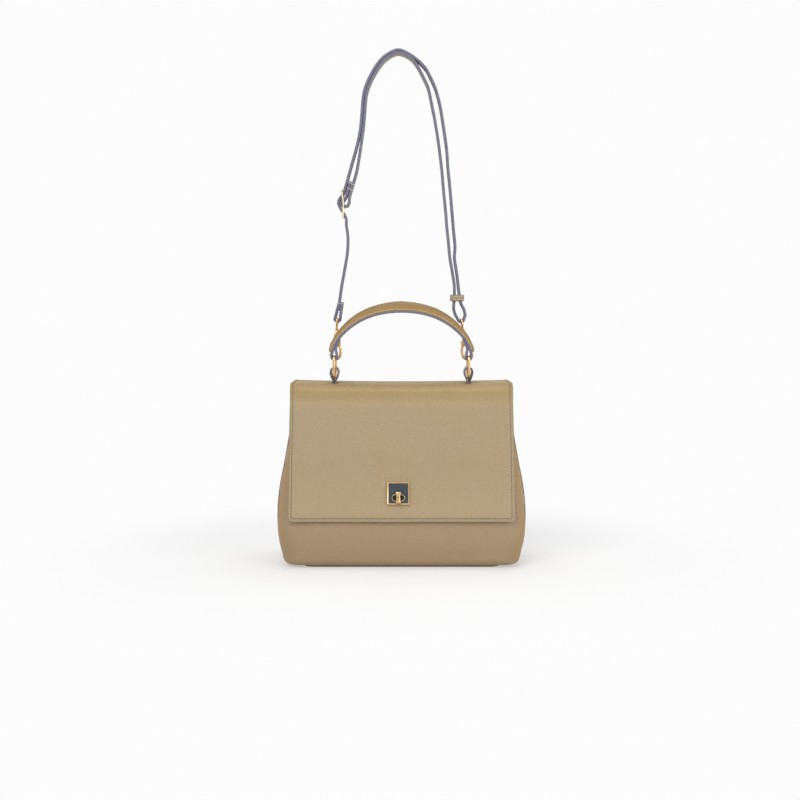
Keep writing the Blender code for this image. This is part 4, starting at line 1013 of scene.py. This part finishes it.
def makeTail():
    low, high = boxOf("flap_tail")
    rear = [(reachAt("flap_tail", z)[1][1], z) for z in np.linspace(low.z + .05, high.z - .05, 8)]
    join = flapLine[0]
    bend = ((rear[-1][0] + join[0]) / 2 + 0.8, (high.z + join[1]) / 2)
    r = tail["corner"]
    rows = []
    for y, z in smoothLine([*rear, bend, join], 2.0):
        share = smoothStep((z - high.z) / (join[1] - high.z))
        half = high.x + (flapHigh.x - high.x) * share
        half -= r - (r * r - (r - min(z - low.z, r)) ** 2) ** 0.5
        rows.append(rowAcross(half, 50, y, z))
    strip = gridPiece("flap-tail", rows, [bodyHide, edge])
    swell(strip, lambda x, y, z, n: 0.35 * unrest(x, y, z, 40, 21)
          * smoothStep((z - low.z - 3) / 9) * smoothStep((join[1] - z) / 6))
    sagTop(strip)
    thicken(strip, tail["hide"], material_offset_rim=1)
    setAttribute(strip, "layer", oneLayer)
    tree = surface(strip)
    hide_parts("flap_tail")
    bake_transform(strip)
    lines = []
    side = high.x - tail["stitchIn"]
    for row in range(tail["rows"]):
        z = low.z + tail["stitchIn"] + row * tail["apart"]
        y = reachAt("flap_tail", z)[1][1]
        line = [(x, y, z) for x in np.linspace(-side, side, 90)]
        if row == 0:
            up = [(side, *p) for p in rear if p[1] > z + 2]
            line = [(-x, y, z) for x, y, z in reversed(up)] + line + up
        lines.append(layOn(tree, line, (0, 1, 0)))
    stitches("tail-stitches", lines, "bag_body")


makeTail()
print("tail made")


# Straps: a flat strip swept along (x, z), with painted edges

strip = {"edgeShare": 0.36, "edgeMost": 0.9, "pared": 0.3}     # corner radii, and thin ends


def outward(line, i):
    # square to a line in (x, z), at its point i
    before, after = line[max(i - 1, 0)], line[min(i + 1, len(line) - 1)]
    along = Vector((after[0] - before[0], 0, after[1] - before[1])).normalized()
    return Vector((-along.z, 0, along.x))


def ribbon(name, line, middle, width, thick, bodyName, node, skive=0):
    # skive pares the strip thin over that many points at its ends, on the side of its sign
    r = min(thick * strip["edgeShare"], strip["edgeMost"])
    half, side = width / 2, thick / 2
    section = [(-half + r + (width - 2 * r) * i / 6, side) for i in range(7)]
    section += arcPoints((half - r, side - r), r, 90, 0, 4)[1:]
    section += [(half, 0.0)] + arcPoints((half - r, r - side), r, 0, -90, 4)
    section += [(-y, -n) for y, n in section]
    rings = []
    for i, (x, z) in enumerate(line):
        thin = 1.0
        if skive:
            full = smoothStep(min(i, len(line) - 1 - i) / abs(skive))
            thin = strip["pared"] + (1 - strip["pared"]) * full
        shift = side * (1 - thin) * (1 if skive > 0 else -1)
        out = outward(line, i)
        rings.append([Vector((x, middle + y, z)) + out * (n * thin + shift) for y, n in section])
    other = len(section) // 2
    obj = sweptPiece(name, rings, [strapHide, edge], {*range(6), *range(other, other + 6)},
                     [n / side for y, n in section])
    dress(obj, bodyName, "edge_leather", node)


def stripRows(line, middle, width, thick, inset, trim=0.0):
    # rows of stitches beside both edges of a strap, on its two faces
    rows = []
    for face in (-1, 1):
        for side in (-1, 1):
            row = []
            for i in range(int(len(line) * trim), max(int(len(line) * (1 - trim)), 2)):
                out = outward(line, i) * face * (thick / 2 - stitch["sunk"])
                row.append((line[i][0] + out.x, middle + side * (width / 2 - inset),
                            line[i][1] + out.z))
            rows.append(row)
    return rows


# Rings, as smooth closed wires, and the leather loops that tie them to the flap

ringCorner = 5.0
for side in ("left", "right"):
    low, high = boxOf("ring_" + side)
    wire = high.x - low.x
    loop = roundLoop((low.y + wire / 2, low.z + wire / 2), (high.y - wire / 2, high.z - wire / 2),
                     ringCorner)
    tubes("ring-" + side, [[((low.x + high.x) / 2, y, z) for y, z in loop]], wire, gold,
          "ring_" + side, "gold", "ring_" + side, closed=True, sides=6)

for side in ("left", "right"):
    low, high = boxOf("chape_" + side)
    x, y, z = (low + high) / 2
    line = smoothLine(centreLine("chape_" + side), 0.8)
    size = y, high.y - low.y, chape["thick"]
    ribbon("chape-" + side, line, *size, "flap", "chape_" + side)
    pieces = []
    for row in stripRows(line, *size, chape["rowIn"]):
        # only what stands above the flap is sewn, clear of the middle and of the loop's top
        shown = [p for p in row if flapHigh.z + 0.6 < p[2] < high.z - 5 and abs(p[0] - x) > 2.5]
        pieces += [[p for p in shown if p[0] < x], [p for p in shown if p[0] > x]]
    stitches("chape-stitches-" + side, [p for p in pieces if len(p) > 4], "flap", paleThread,
             chape["pitch"])
print("rings and chapes made")


# Handle: a strap looped under both rings, with a padded top sewn on it

handle = {
    "strap": 3.0,
    "flank": 5.0,           # height of the flat flange under the padded core
    "seam": 0.4,            # height of the stitches, as a share of the flange
    "pitch": 2.4,
    "thread": 1.25,
    "pinch": 0.6,           # how far the flange stands back under the core
    "round": 5.0,           # length over which the core's ends round off
    "sunk": 0.35,           # how deep the pad sits in the strap
    "skive": 8,             # steps over which the strap's ends are pared thin
    "fill": 0.9,
}


def makeHandle():
    low, high = boxOf("handle_strap")
    padLow, padHigh = boxOf("handle_pad")
    core = smoothLine(centreLine("handle_strap"), 1.5)
    thick, middle = handle["strap"], (low.y + high.y) / 2
    lean = core[0][0] - core[4][0]      # tells which way round the line runs
    ribbon("handle-strap", core, middle, high.y - low.y, thick, "handle", "handle_strap",
           handle["skive"] * (-1 if lean > 0 else 1))
    step = 1.6
    crown = {(round(x, 3), round(z, 3)) for x, y, z in cadPoints("handle_pad")
             if abs(y - middle) < 0.3}
    crown = smoothLine(sorted(crown, key=lambda p: atan2(p[0], p[1] - padLow.z + 40)), step)
    half = (padHigh.y - padLow.y) / 2
    pinch = half - handle["pinch"]
    turns = [pi * k / 24 for k in range(25)]
    # the section: an upright flank at each side, then a full round dome
    rings, seams = [], ([], [])
    for i, (x, z) in enumerate(crown):
        out = outward(crown, i)
        tall = np.hypot(core[:, 0] - x, core[:, 1] - z).min() - thick / 2 + handle["sunk"]
        base = Vector((x, middle, z)) - out * tall
        flank = min(handle["flank"], tall * 0.5)
        gap = min(i, len(crown) - 1 - i) * step / handle["round"]
        full = tall * (1 - (1 - min(gap + 0.12, 1.0)) ** 2) ** 0.5
        rise = [(-pinch, 0.0), (-pinch, flank * 0.5), (-pinch - 0.1, flank * 0.8)]
        dome = [(-half * cos(a), flank + (full - flank) * abs(sin(a)) ** 0.8) for a in turns]
        fall = [(-y, up) for y, up in reversed(rise)]
        rings.append([base + out * up + Vector((0, y, 0)) for y, up in rise + dome + fall])
        for side, seam in zip((-1, 1), seams):
            seam.append(base + out * (flank * handle["seam"])
                        + Vector((0, side * (pinch + 0.2), 0)))
    # painted shade over the top of the dome, as the attribute flank
    topShade = [0.0] * 3 + [abs(sin(a)) ** 0.5 for a in turns] + [0.0] * 3
    pad = sweptPiece("handle-pad", rings, [handleHide], marks=topShade, mark="flank")
    swell(pad, lambda x, y, z, n: 0.22 * unrest(x, y, z, 16, 4) * abs(n.z))
    dress(pad, "handle", "tan_leather", "handle_pad")
    # pale stitches, also standing in for a painted highlight along the flange
    stitches("handle-stitches", [seam[3:-3] for seam in seams], "handle", paleThread,
             handle["pitch"], handle["thread"])


makeHandle()
print("handle made")


# Shoulder strap, with its two ends folded back and sewn down: thread wound round both
# layers, and a thin wedge of leather between them

strap = {"thick": 3.4, "step": 2.4, "rowIn": 2.4}
tack = {
    "hookEnd": (3.0,),      # distances from the strap's end
    "sliderEnd": (2.4, 8.4),
    "thread": 1.0,
    "stand": 0.3,           # from the leather to the thread's middle
    "wedge": 5,             # its length, in steps of the strap's line
    "wedgeIn": 0.5,
    "search": (8, 40),      # the next layer lies this many steps further on
}


def ownLayer(run, k):
    # the middle of the layer that the strap's folded end lies on, beside its point k
    first, last = tack["search"]
    rest = run[k + first:k + last]
    return rest[np.argmin(np.linalg.norm(rest - run[k], axis=1))]


def makeStrap():
    low, high = boxOf("shoulder_strap")
    line = smoothLine(centreLine("shoulder_strap"), strap["step"])
    size = (low.y + high.y) / 2, high.y - low.y, strap["thick"]
    ribbon("shoulder-strap", line, *size, "strap", "shoulder_strap")
    stitches("strap-stitches", stripRows(line, *size, strap["rowIn"], 0.004), "strap")
    corners = ((0, 0), (1, 0), (1, 1), (0, 1))
    half = strap["thick"] / 2
    bm = bmesh.new()
    loops = []
    for run in (line, line[::-1]):
        for place in tack["sliderEnd"] if run[0][1] > run[-1][1] else tack["hookEnd"]:
            k = round(place / strap["step"])
            far = ownLayer(run, k)
            apart = np.linalg.norm(run[k] - far)
            reach = (run[k] - far) / apart * (apart / 2 + half + tack["stand"])
            ends = (run[k] + far) / 2 + reach, (run[k] + far) / 2 - reach
            sides = low.y - tack["stand"], high.y + tack["stand"]
            loops.append([(ends[i][0], sides[j], ends[i][1]) for i, j in corners])
        rings = []
        for k in range(tack["wedge"] + 1):
            far = ownLayer(run, k)
            inward = (far - run[k]) / np.linalg.norm(far - run[k]) * (half - 0.1)
            ends = run[k] + inward, far - inward
            sides = low.y + tack["wedgeIn"], high.y - tack["wedgeIn"]
            rings.append([bm.verts.new(Vector((ends[i][0], sides[j], ends[i][1])) * mm)
                          for i, j in corners])
        joinRings(bm, rings)
        bm.faces.new(rings[0])
        bm.faces.new(rings[-1])
    dress(newPiece("strap-wedges", bm, [edge]), "strap", "edge_leather")
    tubes("strap-tacks", loops, tack["thread"], paleThread, "strap", "edge_leather", closed=True)


makeStrap()
print("strap made")


# Plates of leather or metal with softened edges, and turned pieces

def soften(obj, width, angle, segments=3, weight=50, **settings):
    modify(obj, "BEVEL", width=width * mm, segments=segments, limit_method="ANGLE",
           angle_limit=radians(angle), **settings)
    modify(obj, "WEIGHTED_NORMAL", keep_sharp=True, weight=weight)
    settle(obj)


def plate(name, outline, low, high, finishes, place, bodyName, slotName, *nodes, hole=None,
          bevel=0.4, segments=3):
    # flat piece between two heights, its faces in the first finish and its edge in the last
    last = len(finishes) - 1
    bm = bmesh.new()
    loops = []
    for points in [outline] + ([hole] if hole else []):
        rims = [[bm.verts.new(place @ (Vector((x, y, z)) * mm)) for x, y in points]
                for z in (low, high)]
        for _, face in joinRings(bm, rims):
            face.material_index = last
        loops.append(rims)
    if hole:
        for outer, inner in zip(*loops):
            joinRings(bm, [outer, inner])
    else:
        for rim in loops[0]:
            bm.faces.new(rim)
    obj = newPiece(name, bm, finishes)
    soften(obj, bevel, 50, segments, material=last)
    setAttribute(obj, "layer", oneLayer)
    dress(obj, bodyName, slotName, *nodes)


def polished(node, finish, bodyName, bevel, angle=32, slotName="gold"):
    # the CAD piece's own form, with softened edges
    bm = opened(cadMesh(node))
    bmesh.ops.remove_doubles(bm, verts=bm.verts, dist=0.03 * mm)
    bmesh.ops.dissolve_limit(bm, angle_limit=radians(1.5), verts=bm.verts, edges=bm.edges)
    obj = newPiece(node.replace("_", "-"), bm, [finish])
    soften(obj, bevel, angle, weight=60)
    dress(obj, bodyName, slotName, node)


def turnedPiece(name, profile, place, bodyName, finish=gold):
    # a round piece from (radius, height) pairs, about the place's own Z
    sides = 28
    rings = [[put(place, radius * cos(a), radius * sin(a), z)
              for a in (2 * pi * k / sides for k in range(sides))] for radius, z in profile]
    dress(sweptPiece(name, rings, [finish]), bodyName, "gold")


# Base: a leather panel under the turned-in walls, with stitches all round

base = {"corner": 14.0, "stitchIn": 4.0}


def makeBase():
    low, high = boxOf("base_panel")
    halfX, halfY = (high.x - low.x) / 2, (high.y - low.y) / 2
    middle = (low.y + high.y) / 2
    corner, inset = base["corner"], base["stitchIn"]
    plate("base-panel", roundRect(halfX, halfY, corner, 8), low.z, high.z,
          [bodyHide, innerHide], Matrix.Translation((0, middle * mm, 0)), "bag_body",
          "tan_leather", "base_panel", bevel=0.6)
    loop = roundRect(halfX - inset, halfY - inset, corner - inset, 8)
    stitches("base-stitches", [[(x, middle + y, low.z - 0.1) for x, y in loop + loop[:1]]],
             "bag_body")


makeBase()
print("base made")


# Inside: cloth lining, a leather facing round the mouth, and a zip pocket at the rear

inside = {
    "depth": 4.9,           # the lining hangs this far inside the outside
    "mouthDepth": 2.7,
    "thick": 0.9,
    "wrinkle": 1.3,
    "facing": 24.0,         # height of the leather round the mouth
    "facingThick": 1.1,
    "rows": (3.0, 4.0),     # stitches this far from the facing's lower and upper edge
}
zipper = {
    "window": 10.4,         # height of the opening in the frame
    "frame": 9.0,           # width of the leather round it
    "frameThick": 1.2,
    "overlap": 4.5,         # the frame lies this far over the tape's ends
    "rowIn": 2.6,
    "tapeHalf": 11.0,
    "tapeThick": 0.8,
    "corners": (0.6, 5.0, 1.6),     # of the tape, the frame and its opening
    "tooth": (1.15, 2.0, 1.2),
    "toothOut": (0.8, 1.4), # from the middle of the zip, and from the back of the tape
    "toothEnd": 6.0,        # the rows stop this far from the tape's ends
    "pitch": 1.9,
}
boardTop = boxOf("rear_stiffener")[1].z
liningLow = boxOf("lining")[0].z
zipLow, zipHigh = boxOf("zip_tape")
zipHalf, zipMiddle = zipHigh.x, (zipLow + zipHigh) / 2


def liningDepth(z):
    share = smoothStep((z - boardTop - 1) / 13)
    return inside["depth"] + (inside["mouthDepth"] - inside["depth"]) * share


def wrinkle(x, y, z, normal):
    # the cloth's folds, none of them round the zip
    soft = smoothStep((z - liningLow) / 25) * smoothStep((mouth - 26 - z) / 20)
    if y > 0:
        soft *= smoothStep(max(abs(x) - zipHalf - 6, abs(z - zipMiddle.z) - 22) / 14)
    fold = 0.5 + unrest(x * 1.3, y, z * 0.4, 26, 31) + 0.5 * unrest(x, y, z, 13, 17)
    return -inside["wrinkle"] * max(fold, 0.0) * soft


def makeLining():
    floor = [(liningLow + 0.15, 46.0), (liningLow + 0.15, 28.0), (liningLow + 0.15, 11.0),
             (liningLow + 1.6, 7.4), (liningLow + 4.4, 5.6)]
    up = [(z, liningDepth(z)) for z in np.linspace(liningLow + 8, mouth - 1.0, 56)]
    pouch = gridPiece("lining-pouch", bodyRows(floor + up, True), [cloth], True, True)
    swell(pouch, wrinkle)
    thicken(pouch, inside["thick"])
    dress(pouch, "bag_body", "cloth", "lining")
    lowEdge = mouth - inside["facing"]
    rows = bodyRows([(z, liningDepth(z) + inside["thick"] + 0.25)
                     for z in np.linspace(lowEdge, mouth - 0.2, 12)], True)
    facing = gridPiece("mouth-facing", rows, [innerHide, edge], True)
    thicken(facing, inside["facingThick"], material_offset_rim=1)
    dress(facing, "bag_body", "tan_leather")
    reach = inside["thick"] + inside["facingThick"] + 0.4
    first, last = inside["rows"]
    stitches("facing-stitches", [row + row[:1] for row in bodyRows(
        [(z, liningDepth(z) + reach - 0.1) for z in (lowEdge + first, mouth - last)], True)],
        "bag_body")
    # the painted rim that joins the outer hide and the facing
    deep = inside["mouthDepth"] + reach + 0.1
    rim = [(-1.1, -0.12), (-0.1, -0.12), (0.35, 0.35), (0.45, deep / 2), (0.35, deep - 0.4),
           (-0.1, deep + 0.02), (-1.1, deep + 0.02)]
    rows = [[(x, y, mouth + up) for x, y in bodyRing(mouth, inset, inset > deep / 2 - 0.1)]
            for up, inset in rim]
    cap = gridPiece("mouth-rim", rows, [edge], True)
    setAttribute(cap, "layer", lambda x, y, z: (z - mouth) * 4)
    dress(cap, "bag_body", "edge_leather")


makeLining()
for board in ("base_board", "front_stiffener", "rear_stiffener"):
    polished(board, innerHide, "bag_body", 0.3, slotName="board")
print("inside made")


def makeZip():
    # woven tape, a leather frame, and two rows of teeth
    half, (tapeCorner, frameCorner, windowCorner) = zipper["tapeHalf"], zipper["corners"]
    lean = wallAt(zipMiddle.z - half)[2] - wallAt(zipMiddle.z + half)[2]
    up = Vector((0, -lean, 2 * half)).normalized()
    right = Vector((1, 0, 0))
    out = right.cross(up)
    place = placeAt(zipMiddle - out * zipper["tapeThick"] / 2, right, up, out)
    plate("zip-tape", roundRect(zipHalf, half, tapeCorner, 2), 0.0, zipper["tapeThick"],
          [tapeCloth], place, "bag_body", "cloth", "zip_tape", bevel=0.15, segments=1)

    def window(grow, radius):
        return roundRect(zipHalf - zipper["overlap"] + grow, zipper["window"] / 2 + grow, radius)

    under, wide, rowIn = zipper["tapeThick"] + 0.1, zipper["frame"], zipper["rowIn"]
    top = under + zipper["frameThick"]
    plate("zip-frame", window(wide, frameCorner), under, top, [innerHide, edge], place,
          "bag_body", "tan_leather", hole=window(0, windowCorner), bevel=0.35)
    lines = []
    for grow in (rowIn, wide - rowIn):
        loop = window(grow, 2.0 + grow / 4)
        lines.append([put(place, x, y, top) for x, y in loop + loop[:1]])
    stitches("zip-stitches", lines, "bag_body", paleThread, 3.0)
    end, (aside, lift) = zipHalf - zipper["toothEnd"], zipper["toothOut"]
    bm = bmesh.new()
    for row in (-1, 1):
        shift = zipper["pitch"] / 4 * row
        line = [(x + shift, row * aside, lift) for x in (-end, end)]
        bm.from_mesh(curveMesh([line], toothNodes, {
            "Pitch": zipper["pitch"] * mm, "Tooth": shade(zipper["tooth"], mm), "Finish": gold}))
    bm.transform(place)
    teeth = newPiece("zip-teeth", bm, [gold], solid=False)
    teeth.data.shade_flat()
    dress(teeth, "bag_body", "gold")


makeZip()
print("zip made")


# Turn lock

lock = {
    "flat": 0.6,            # width of the frame's front
    "slope": 0.95,          # and of its inner slope
    "fall": 0.55,
    "corner": 1.0,
    "bed": 2.3,             # how far the dark face reaches under the frame
    "waist": 2.45,          # half the knob's width in the middle
    "end": 3.5,             # and at its ends
    "pin": 0.9,
}


def makeLock():
    place = lockPlace()
    spots = pointsIn(place, "lock_frame")
    low, high = spots.min(0), spots.max(0)
    halfX, halfY = (high[:2] - low[:2]) / 2
    top, reach = high[2], lock["flat"] + lock["slope"]
    bed = pointsIn(place, "lock_face").max(0)[2] - 0.03
    profile = [(0.0, low[2]), (0.0, top - 0.4), (0.15, top - 0.1), (0.3, top),
               (lock["flat"], top), (reach, top - lock["fall"]), (reach, bed),
               (lock["bed"], bed), (lock["bed"], low[2]), (0.0, low[2])]
    rows = []
    for inset, z in profile:
        corner = max(lock["corner"] - inset, 0.06)
        rows.append([put(place, x, y, z)
                     for x, y in roundRect(halfX - inset, halfY - inset, corner, 4)])
    rim = gridPiece("lock-frame", rows, [gold, darkPlate], True)
    for face in rim.data.polygons:
        face.material_index = 1 if face.index // len(rows[0]) == 6 else 0   # its bed is dark
    rim.data.set_sharp_from_angle(angle=radians(18))
    dress(rim, "flap", "gold", "lock_frame")
    # the knob: a waisted bar with a full face, and the end of its pin
    spots = pointsIn(place, "turn_knob")
    low, high = spots.min(0), spots.max(0)
    x, y = (low[:2] + high[:2]) / 2
    top, tall = high[2] + 0.1, (high[1] - low[1]) / 2
    waist, end = lock["waist"], lock["end"]
    under = spots[abs(spots[:, 1] - y) > tall * 0.8][:, 2].min()
    stem = spots[spots[:, 2] < under - 0.3]
    shaft = np.hypot(stem[:, 0] - x, stem[:, 1] - y).max()
    side = [(waist + (end - waist) * abs(t) ** 1.5, t * tall)
            for t in np.linspace(-0.94, 0.94, 15)]
    cap = [(end * 0.88, tall * 0.985), (end * 0.55, tall)]
    right = [(a, -b) for a, b in reversed(cap)] + side + cap
    outline = [(0.0, -tall), *right, (0.0, tall)] + [(-a, b) for a, b in reversed(right)]
    levels = ((0.9, under), (1.0, under + 0.35), (1.0, top - 1.3), (0.95, top - 0.75),
              (0.86, top - 0.4), (0.66, top - 0.15), (0.36, top - 0.02), (0.1, top))
    rings = [[put(place, x + a * share, y + b * (1 - (1 - share) * end / tall), z)
              for a, b in outline] for share, z in levels]
    dress(sweptPiece("turn-knob", rings, [gold]), "turn_knob", "gold", "turn_knob")
    spot = place @ Matrix.Translation(Vector((x, y, 0)) * mm)
    turnedPiece("knob-shaft", [(shaft, low[2]), (shaft, under + 0.5)], spot, "turn_knob")
    pin = lock["pin"]
    # painted shade: the pin's end in the same dark gold
    turnedPiece("knob-pin", [(pin, top - 0.5), (pin, top + 0.12), (pin * 0.7, top + 0.3),
                             (0.15, top + 0.34)], spot, "turn_knob", recess)
    polished("lock_face", darkPlate, "flap", 0.15, slotName="dark_plate")
    # painted highlight: the oval rim in paler gold
    polished("lock_oval_rim", paleGold, "flap", 0.16, 40)
    polished("lock_back_plate", gold, "flap", 0.2)
    # painted shade: the lock's base and washer in dark gold
    polished("lock_base", recess, "bag_body", 0.3)
    polished("lock_washer", recess, "bag_body", 0.2)


makeLock()
polished("zip_slider", gold, "zip_slider", 0.7)
polished("slider", paleGold, "strap", 0.3, 60)
print("metal made")


# Snap hooks: a smooth bow round the ring's bar, a turned barrel, and the strap's eye

hook = {
    "wire": 3.5,
    "cadWire": 3.4,         # the CAD bow's, a little thinner
    "bow": 19.0,            # the bow's height
    "barrel": (2.6, 3.5, 3.5, 2.5, 2.5, 3.2, 3.2, 2.4),     # radii from the top down
    "steps": (0.0, 0.5, 1.5, 2.6, 3.4, 4.4, 5.2, 5.8),      # and how far down each is
    "neck": 1.9,
    "stem": 3.0,
    "ball": 2.3,
    "eyeWire": 2.6,
    "eye": 12.5,            # the eye's height
    "shoulder": 7.0,        # from its bar down to where it narrows
    "eyeCorner": 2.4,
}


def softened(points, radius):
    # a closed outline with its corners rounded off
    rounded = []
    for i, here in enumerate(points):
        here = Vector(here)
        before = (Vector(points[i - 1]) - here).normalized() * radius
        after = (Vector(points[(i + 1) % len(points)]) - here).normalized() * radius
        rounded += [here + before * (1 - t) ** 2 + after * t * t for t in (0, .25, .5, .75, 1)]
    return rounded


def makeHook(side, name):
    ringLow, ringHigh = boxOf("ring_" + name)
    eyeLow, eyeHigh = boxOf("eye_" + name)
    points = cadPoints("eye_" + name)
    barX = points[points[:, 2] > eyeHigh.z - 0.3][:, 0].mean()
    wire, eyeWire = ringHigh.x - ringLow.x, hook["eyeWire"]
    start = Vector(((ringLow.x + ringHigh.x) / 2, (eyeLow.y + eyeHigh.y) / 2,
                    ringHigh.z - wire / 2))
    up = Vector((barX - start.x, 0, eyeHigh.z - eyeWire / 2 - start.z))
    reach = up.length
    up.normalize()
    place = placeAt(start, (up.z, 0, -up.x), (0, 1, 0), up)
    local = pointsIn(place, "hook_" + name)
    low, high = local.min(0), local.max(0)
    half = (high[0] - low[0] - hook["cadWire"]) / 2
    middle = low[2] + hook["cadWire"] / 2 + half
    top = middle - half + hook["bow"]
    nose = pointsIn(place, "gate_" + name)[:, 2].min() - 0.3
    down = smoothLine([(0, top + 1.5), (-half * 0.62, top - 0.6), (-half, top - 6.0),
                       (-half, middle)], 0.8)
    line = [*down, *arcPoints((0, middle), half, 180, 360, 26)[1:], (half, nose)]
    polished("hook_" + name, gold, "strap", 0.45, 50)
    tubes("hook-bow-" + name, [[put(place, side * x, 0, z) for x, z in line]], hook["wire"],
          gold, "strap", "gold", sides=7)
    foot = high[2]
    profile = [(r, foot - step + 0.03) for r, step in zip(hook["barrel"], hook["steps"])]
    profile = [(hook["neck"], foot + 0.05)] + [(r * (1.0 if 0 < i < 7 else 0.98) + 0.24, z)
                                               for i, (r, z) in enumerate(profile)]
    turnedPiece("hook-barrel-" + name, profile, place, "strap")
    # the eye: a wire loop whose upper bar carries the strap, on a stem with a small ball
    halfY, low = (eyeHigh.y - eyeLow.y - eyeWire) / 2, reach - hook["eye"]
    bend = reach - hook["shoulder"]
    loop = softened([(halfY, reach), (-halfY, reach), (-halfY, bend), (-halfY * .3, low),
                     (halfY * .3, low), (halfY, bend)], hook["eyeCorner"])
    tubes("eye-" + name, [[put(place, 0, *p) for p in loop]], eyeWire, gold, "strap", "gold",
          "eye_" + name, closed=True, sides=5)
    ball = [(hook["ball"] * sin(a), low - 1.4 - hook["ball"] * cos(a))
            for a in (pi * (k + 0.5) / 12 for k in range(12))]
    turnedPiece("eye-ball-" + name, ball, place, "strap")
    stem = hook["stem"] / 2
    turnedPiece("eye-stem-" + name, [(stem, foot - 3), (stem, low - 1.5)], place, "strap")
    polished("gate_pin_" + name, gold, "strap", 0.2, 50)
    polished("gate_" + name, gold, "gate_" + name, 0.35, 40)


makeHook(-1, "left")
makeHook(1, "right")
print("hooks made")


# Keeper: a sewn leather band round both runs of the strap

keeper = {"hide": 2.2, "corner": 2.6, "rowIn": 2.3, "pitch": 2.2, "softEdge": 0.7}


def makeKeeper():
    low, high = boxOf("strap_keeper")
    wall, r = keeper["hide"], keeper["softEdge"]
    centre = (low + high) / 2
    halfX, halfY, tall = (high.x - low.x) / 2, (high.y - low.y) / 2, high.z - low.z
    loop = roundRect(halfX - wall / 2, halfY - wall / 2, keeper["corner"], 7)
    section = [(wall / 2, -tall / 2 + r + (tall - 2 * r) * k / 4) for k in range(5)]
    section += arcPoints((wall / 2 - r, tall / 2 - r), r, 30, 90, 2)
    section += [(-n, -z) for n, z in section]
    rings = []
    for i, (x, y) in enumerate(loop):
        before, after = Vector(loop[i - 1]), Vector(loop[(i + 1) % len(loop)])
        along = (after - before).normalized()
        rings.append([centre + Vector((x + along.y * n, y - along.x * n, z))
                      for n, z in section])
    band = sweptPiece("strap-keeper", rings, [strapHide, edge], {*range(4), *range(8, 12)},
                      [n / wall * 2 for n, z in section], looped=True)
    dress(band, "strap_keeper", "tan_leather", "strap_keeper")
    row = roundRect(halfX, halfY, keeper["corner"] + wall / 2, 7)
    up = tall / 2 - keeper["rowIn"]
    stitches("keeper-stitches", [[(centre.x + x, centre.y + y, z) for x, y in row + row[:1]]
                                 for z in (centre.z - up, centre.z + up)],
             "strap_keeper", paleThread, keeper["pitch"])


makeKeeper()
print("keeper made")


# Stage: white floor and background, one broad lamp in front and two fills

stage = {
    "distance": 1.7,
    "eye": 0.3262,          # height of the photograph's camera
    "lens": 58.7,
    "shift": (-0.0019, -0.115),
    "ambient": 0.27,
    "white": 0.975,         # how bright the background looks
    "paper": 0.5,           # how much of the light the floor shows beside the bag
    "glow": 0.44,
    "edge": (260, 520),     # the floor turns plain white between these distances
}
lamps = {                   # place, height that it is aimed at, width and power
    "key": ((-0.9, -1.9, 2.0), 0.25, 1.5, 34.0),
    "fill": ((1.5, -1.5, 0.8), 0.2, 1.2, 13.0),
    "top": ((0.1, 0.3, 2.0), 0.2, 1.4, 20.0),
}


def backdrop():
    # white to the camera and to reflections, and plain to everything else
    world = bpy.data.worlds.new("studio")
    world.use_nodes = True
    nodes = Nodes(world.node_tree)
    nodes.tree.nodes.clear()
    level = nodes.node("ShaderNodeMapRange", None, {
        "Value": nodes.seen(), "To Min": stage["ambient"], "To Max": stage["white"]})
    light = nodes.node("ShaderNodeBackground", None, {"Color": (1, 1, 1, 1), "Strength": level})
    nodes.tree.links.new(light.socket, nodes.tree.nodes.new("ShaderNodeOutputWorld").inputs[0])
    return world


def floorPaint():
    # seen near the bag it is lit, so that the shadow shows, and further off it is white
    paint = Paint("floor", 0.9)
    spot = paint.place()
    tone = paint.between(paint.noise(spot, 400), 0.3, 0.7)
    paint.feed("Base Color", paint.blend(tone, [0.80] * 3, [0.83] * 3))
    far = paint.node("ShaderNodeVectorMath", {"operation": "LENGTH"}, [spot], "Value")
    paper = paint.node("ShaderNodeBsdfDiffuse", None, {"Color": (*[stage["paper"]] * 3, 1.0)})
    glow, white = (paint.node("ShaderNodeEmission", None, {"Strength": stage[name]})
                   for name in ("glow", "white"))
    near = paint.node("ShaderNodeAddShader", None, [paper, glow])
    shown = paint.node("ShaderNodeMixShader", None,
                       [paint.between(far, *stage["edge"]), near, white])
    mix = paint.node("ShaderNodeMixShader", None,
                     [paint.seen(), Wire(paint, paint.shader.outputs[0]), shown])
    paint.tree.links.new(mix.socket, paint.tree.nodes["Material Output"].inputs[0])
    return paint.material


def makeStage():
    scene = bpy.context.scene
    scene.view_settings.view_transform = "Standard"
    scene.world = backdrop()
    bm = bmesh.new()
    bm.faces.new([bm.verts.new((x, y, -0.0002))
                  for x, y in ((-12, -12), (12, -12), (12, 12), (-12, 12))])
    newPiece("floor", bm, [floorPaint()], solid=False)
    for name, (place, aim, size, power) in lamps.items():
        light = setAll(bpy.data.lights.new(name, "AREA"), {"size": size, "energy": power})
        obj = addObject(name, light)
        obj.location = place
        away = Vector((0, 0, aim)) - Vector(place)
        obj.rotation_euler = away.to_track_quat("-Z", "Y").to_euler()
    lens = bpy.data.cameras.new("camera")
    lens.lens = stage["lens"]
    lens.shift_x, lens.shift_y = stage["shift"]
    camera = addObject("camera", lens)
    camera.location = (0, -stage["distance"], stage["eye"])
    camera.rotation_euler = (pi / 2, 0, 0)
    scene.camera = camera


makeStage()
print("stage made")

print("finished")
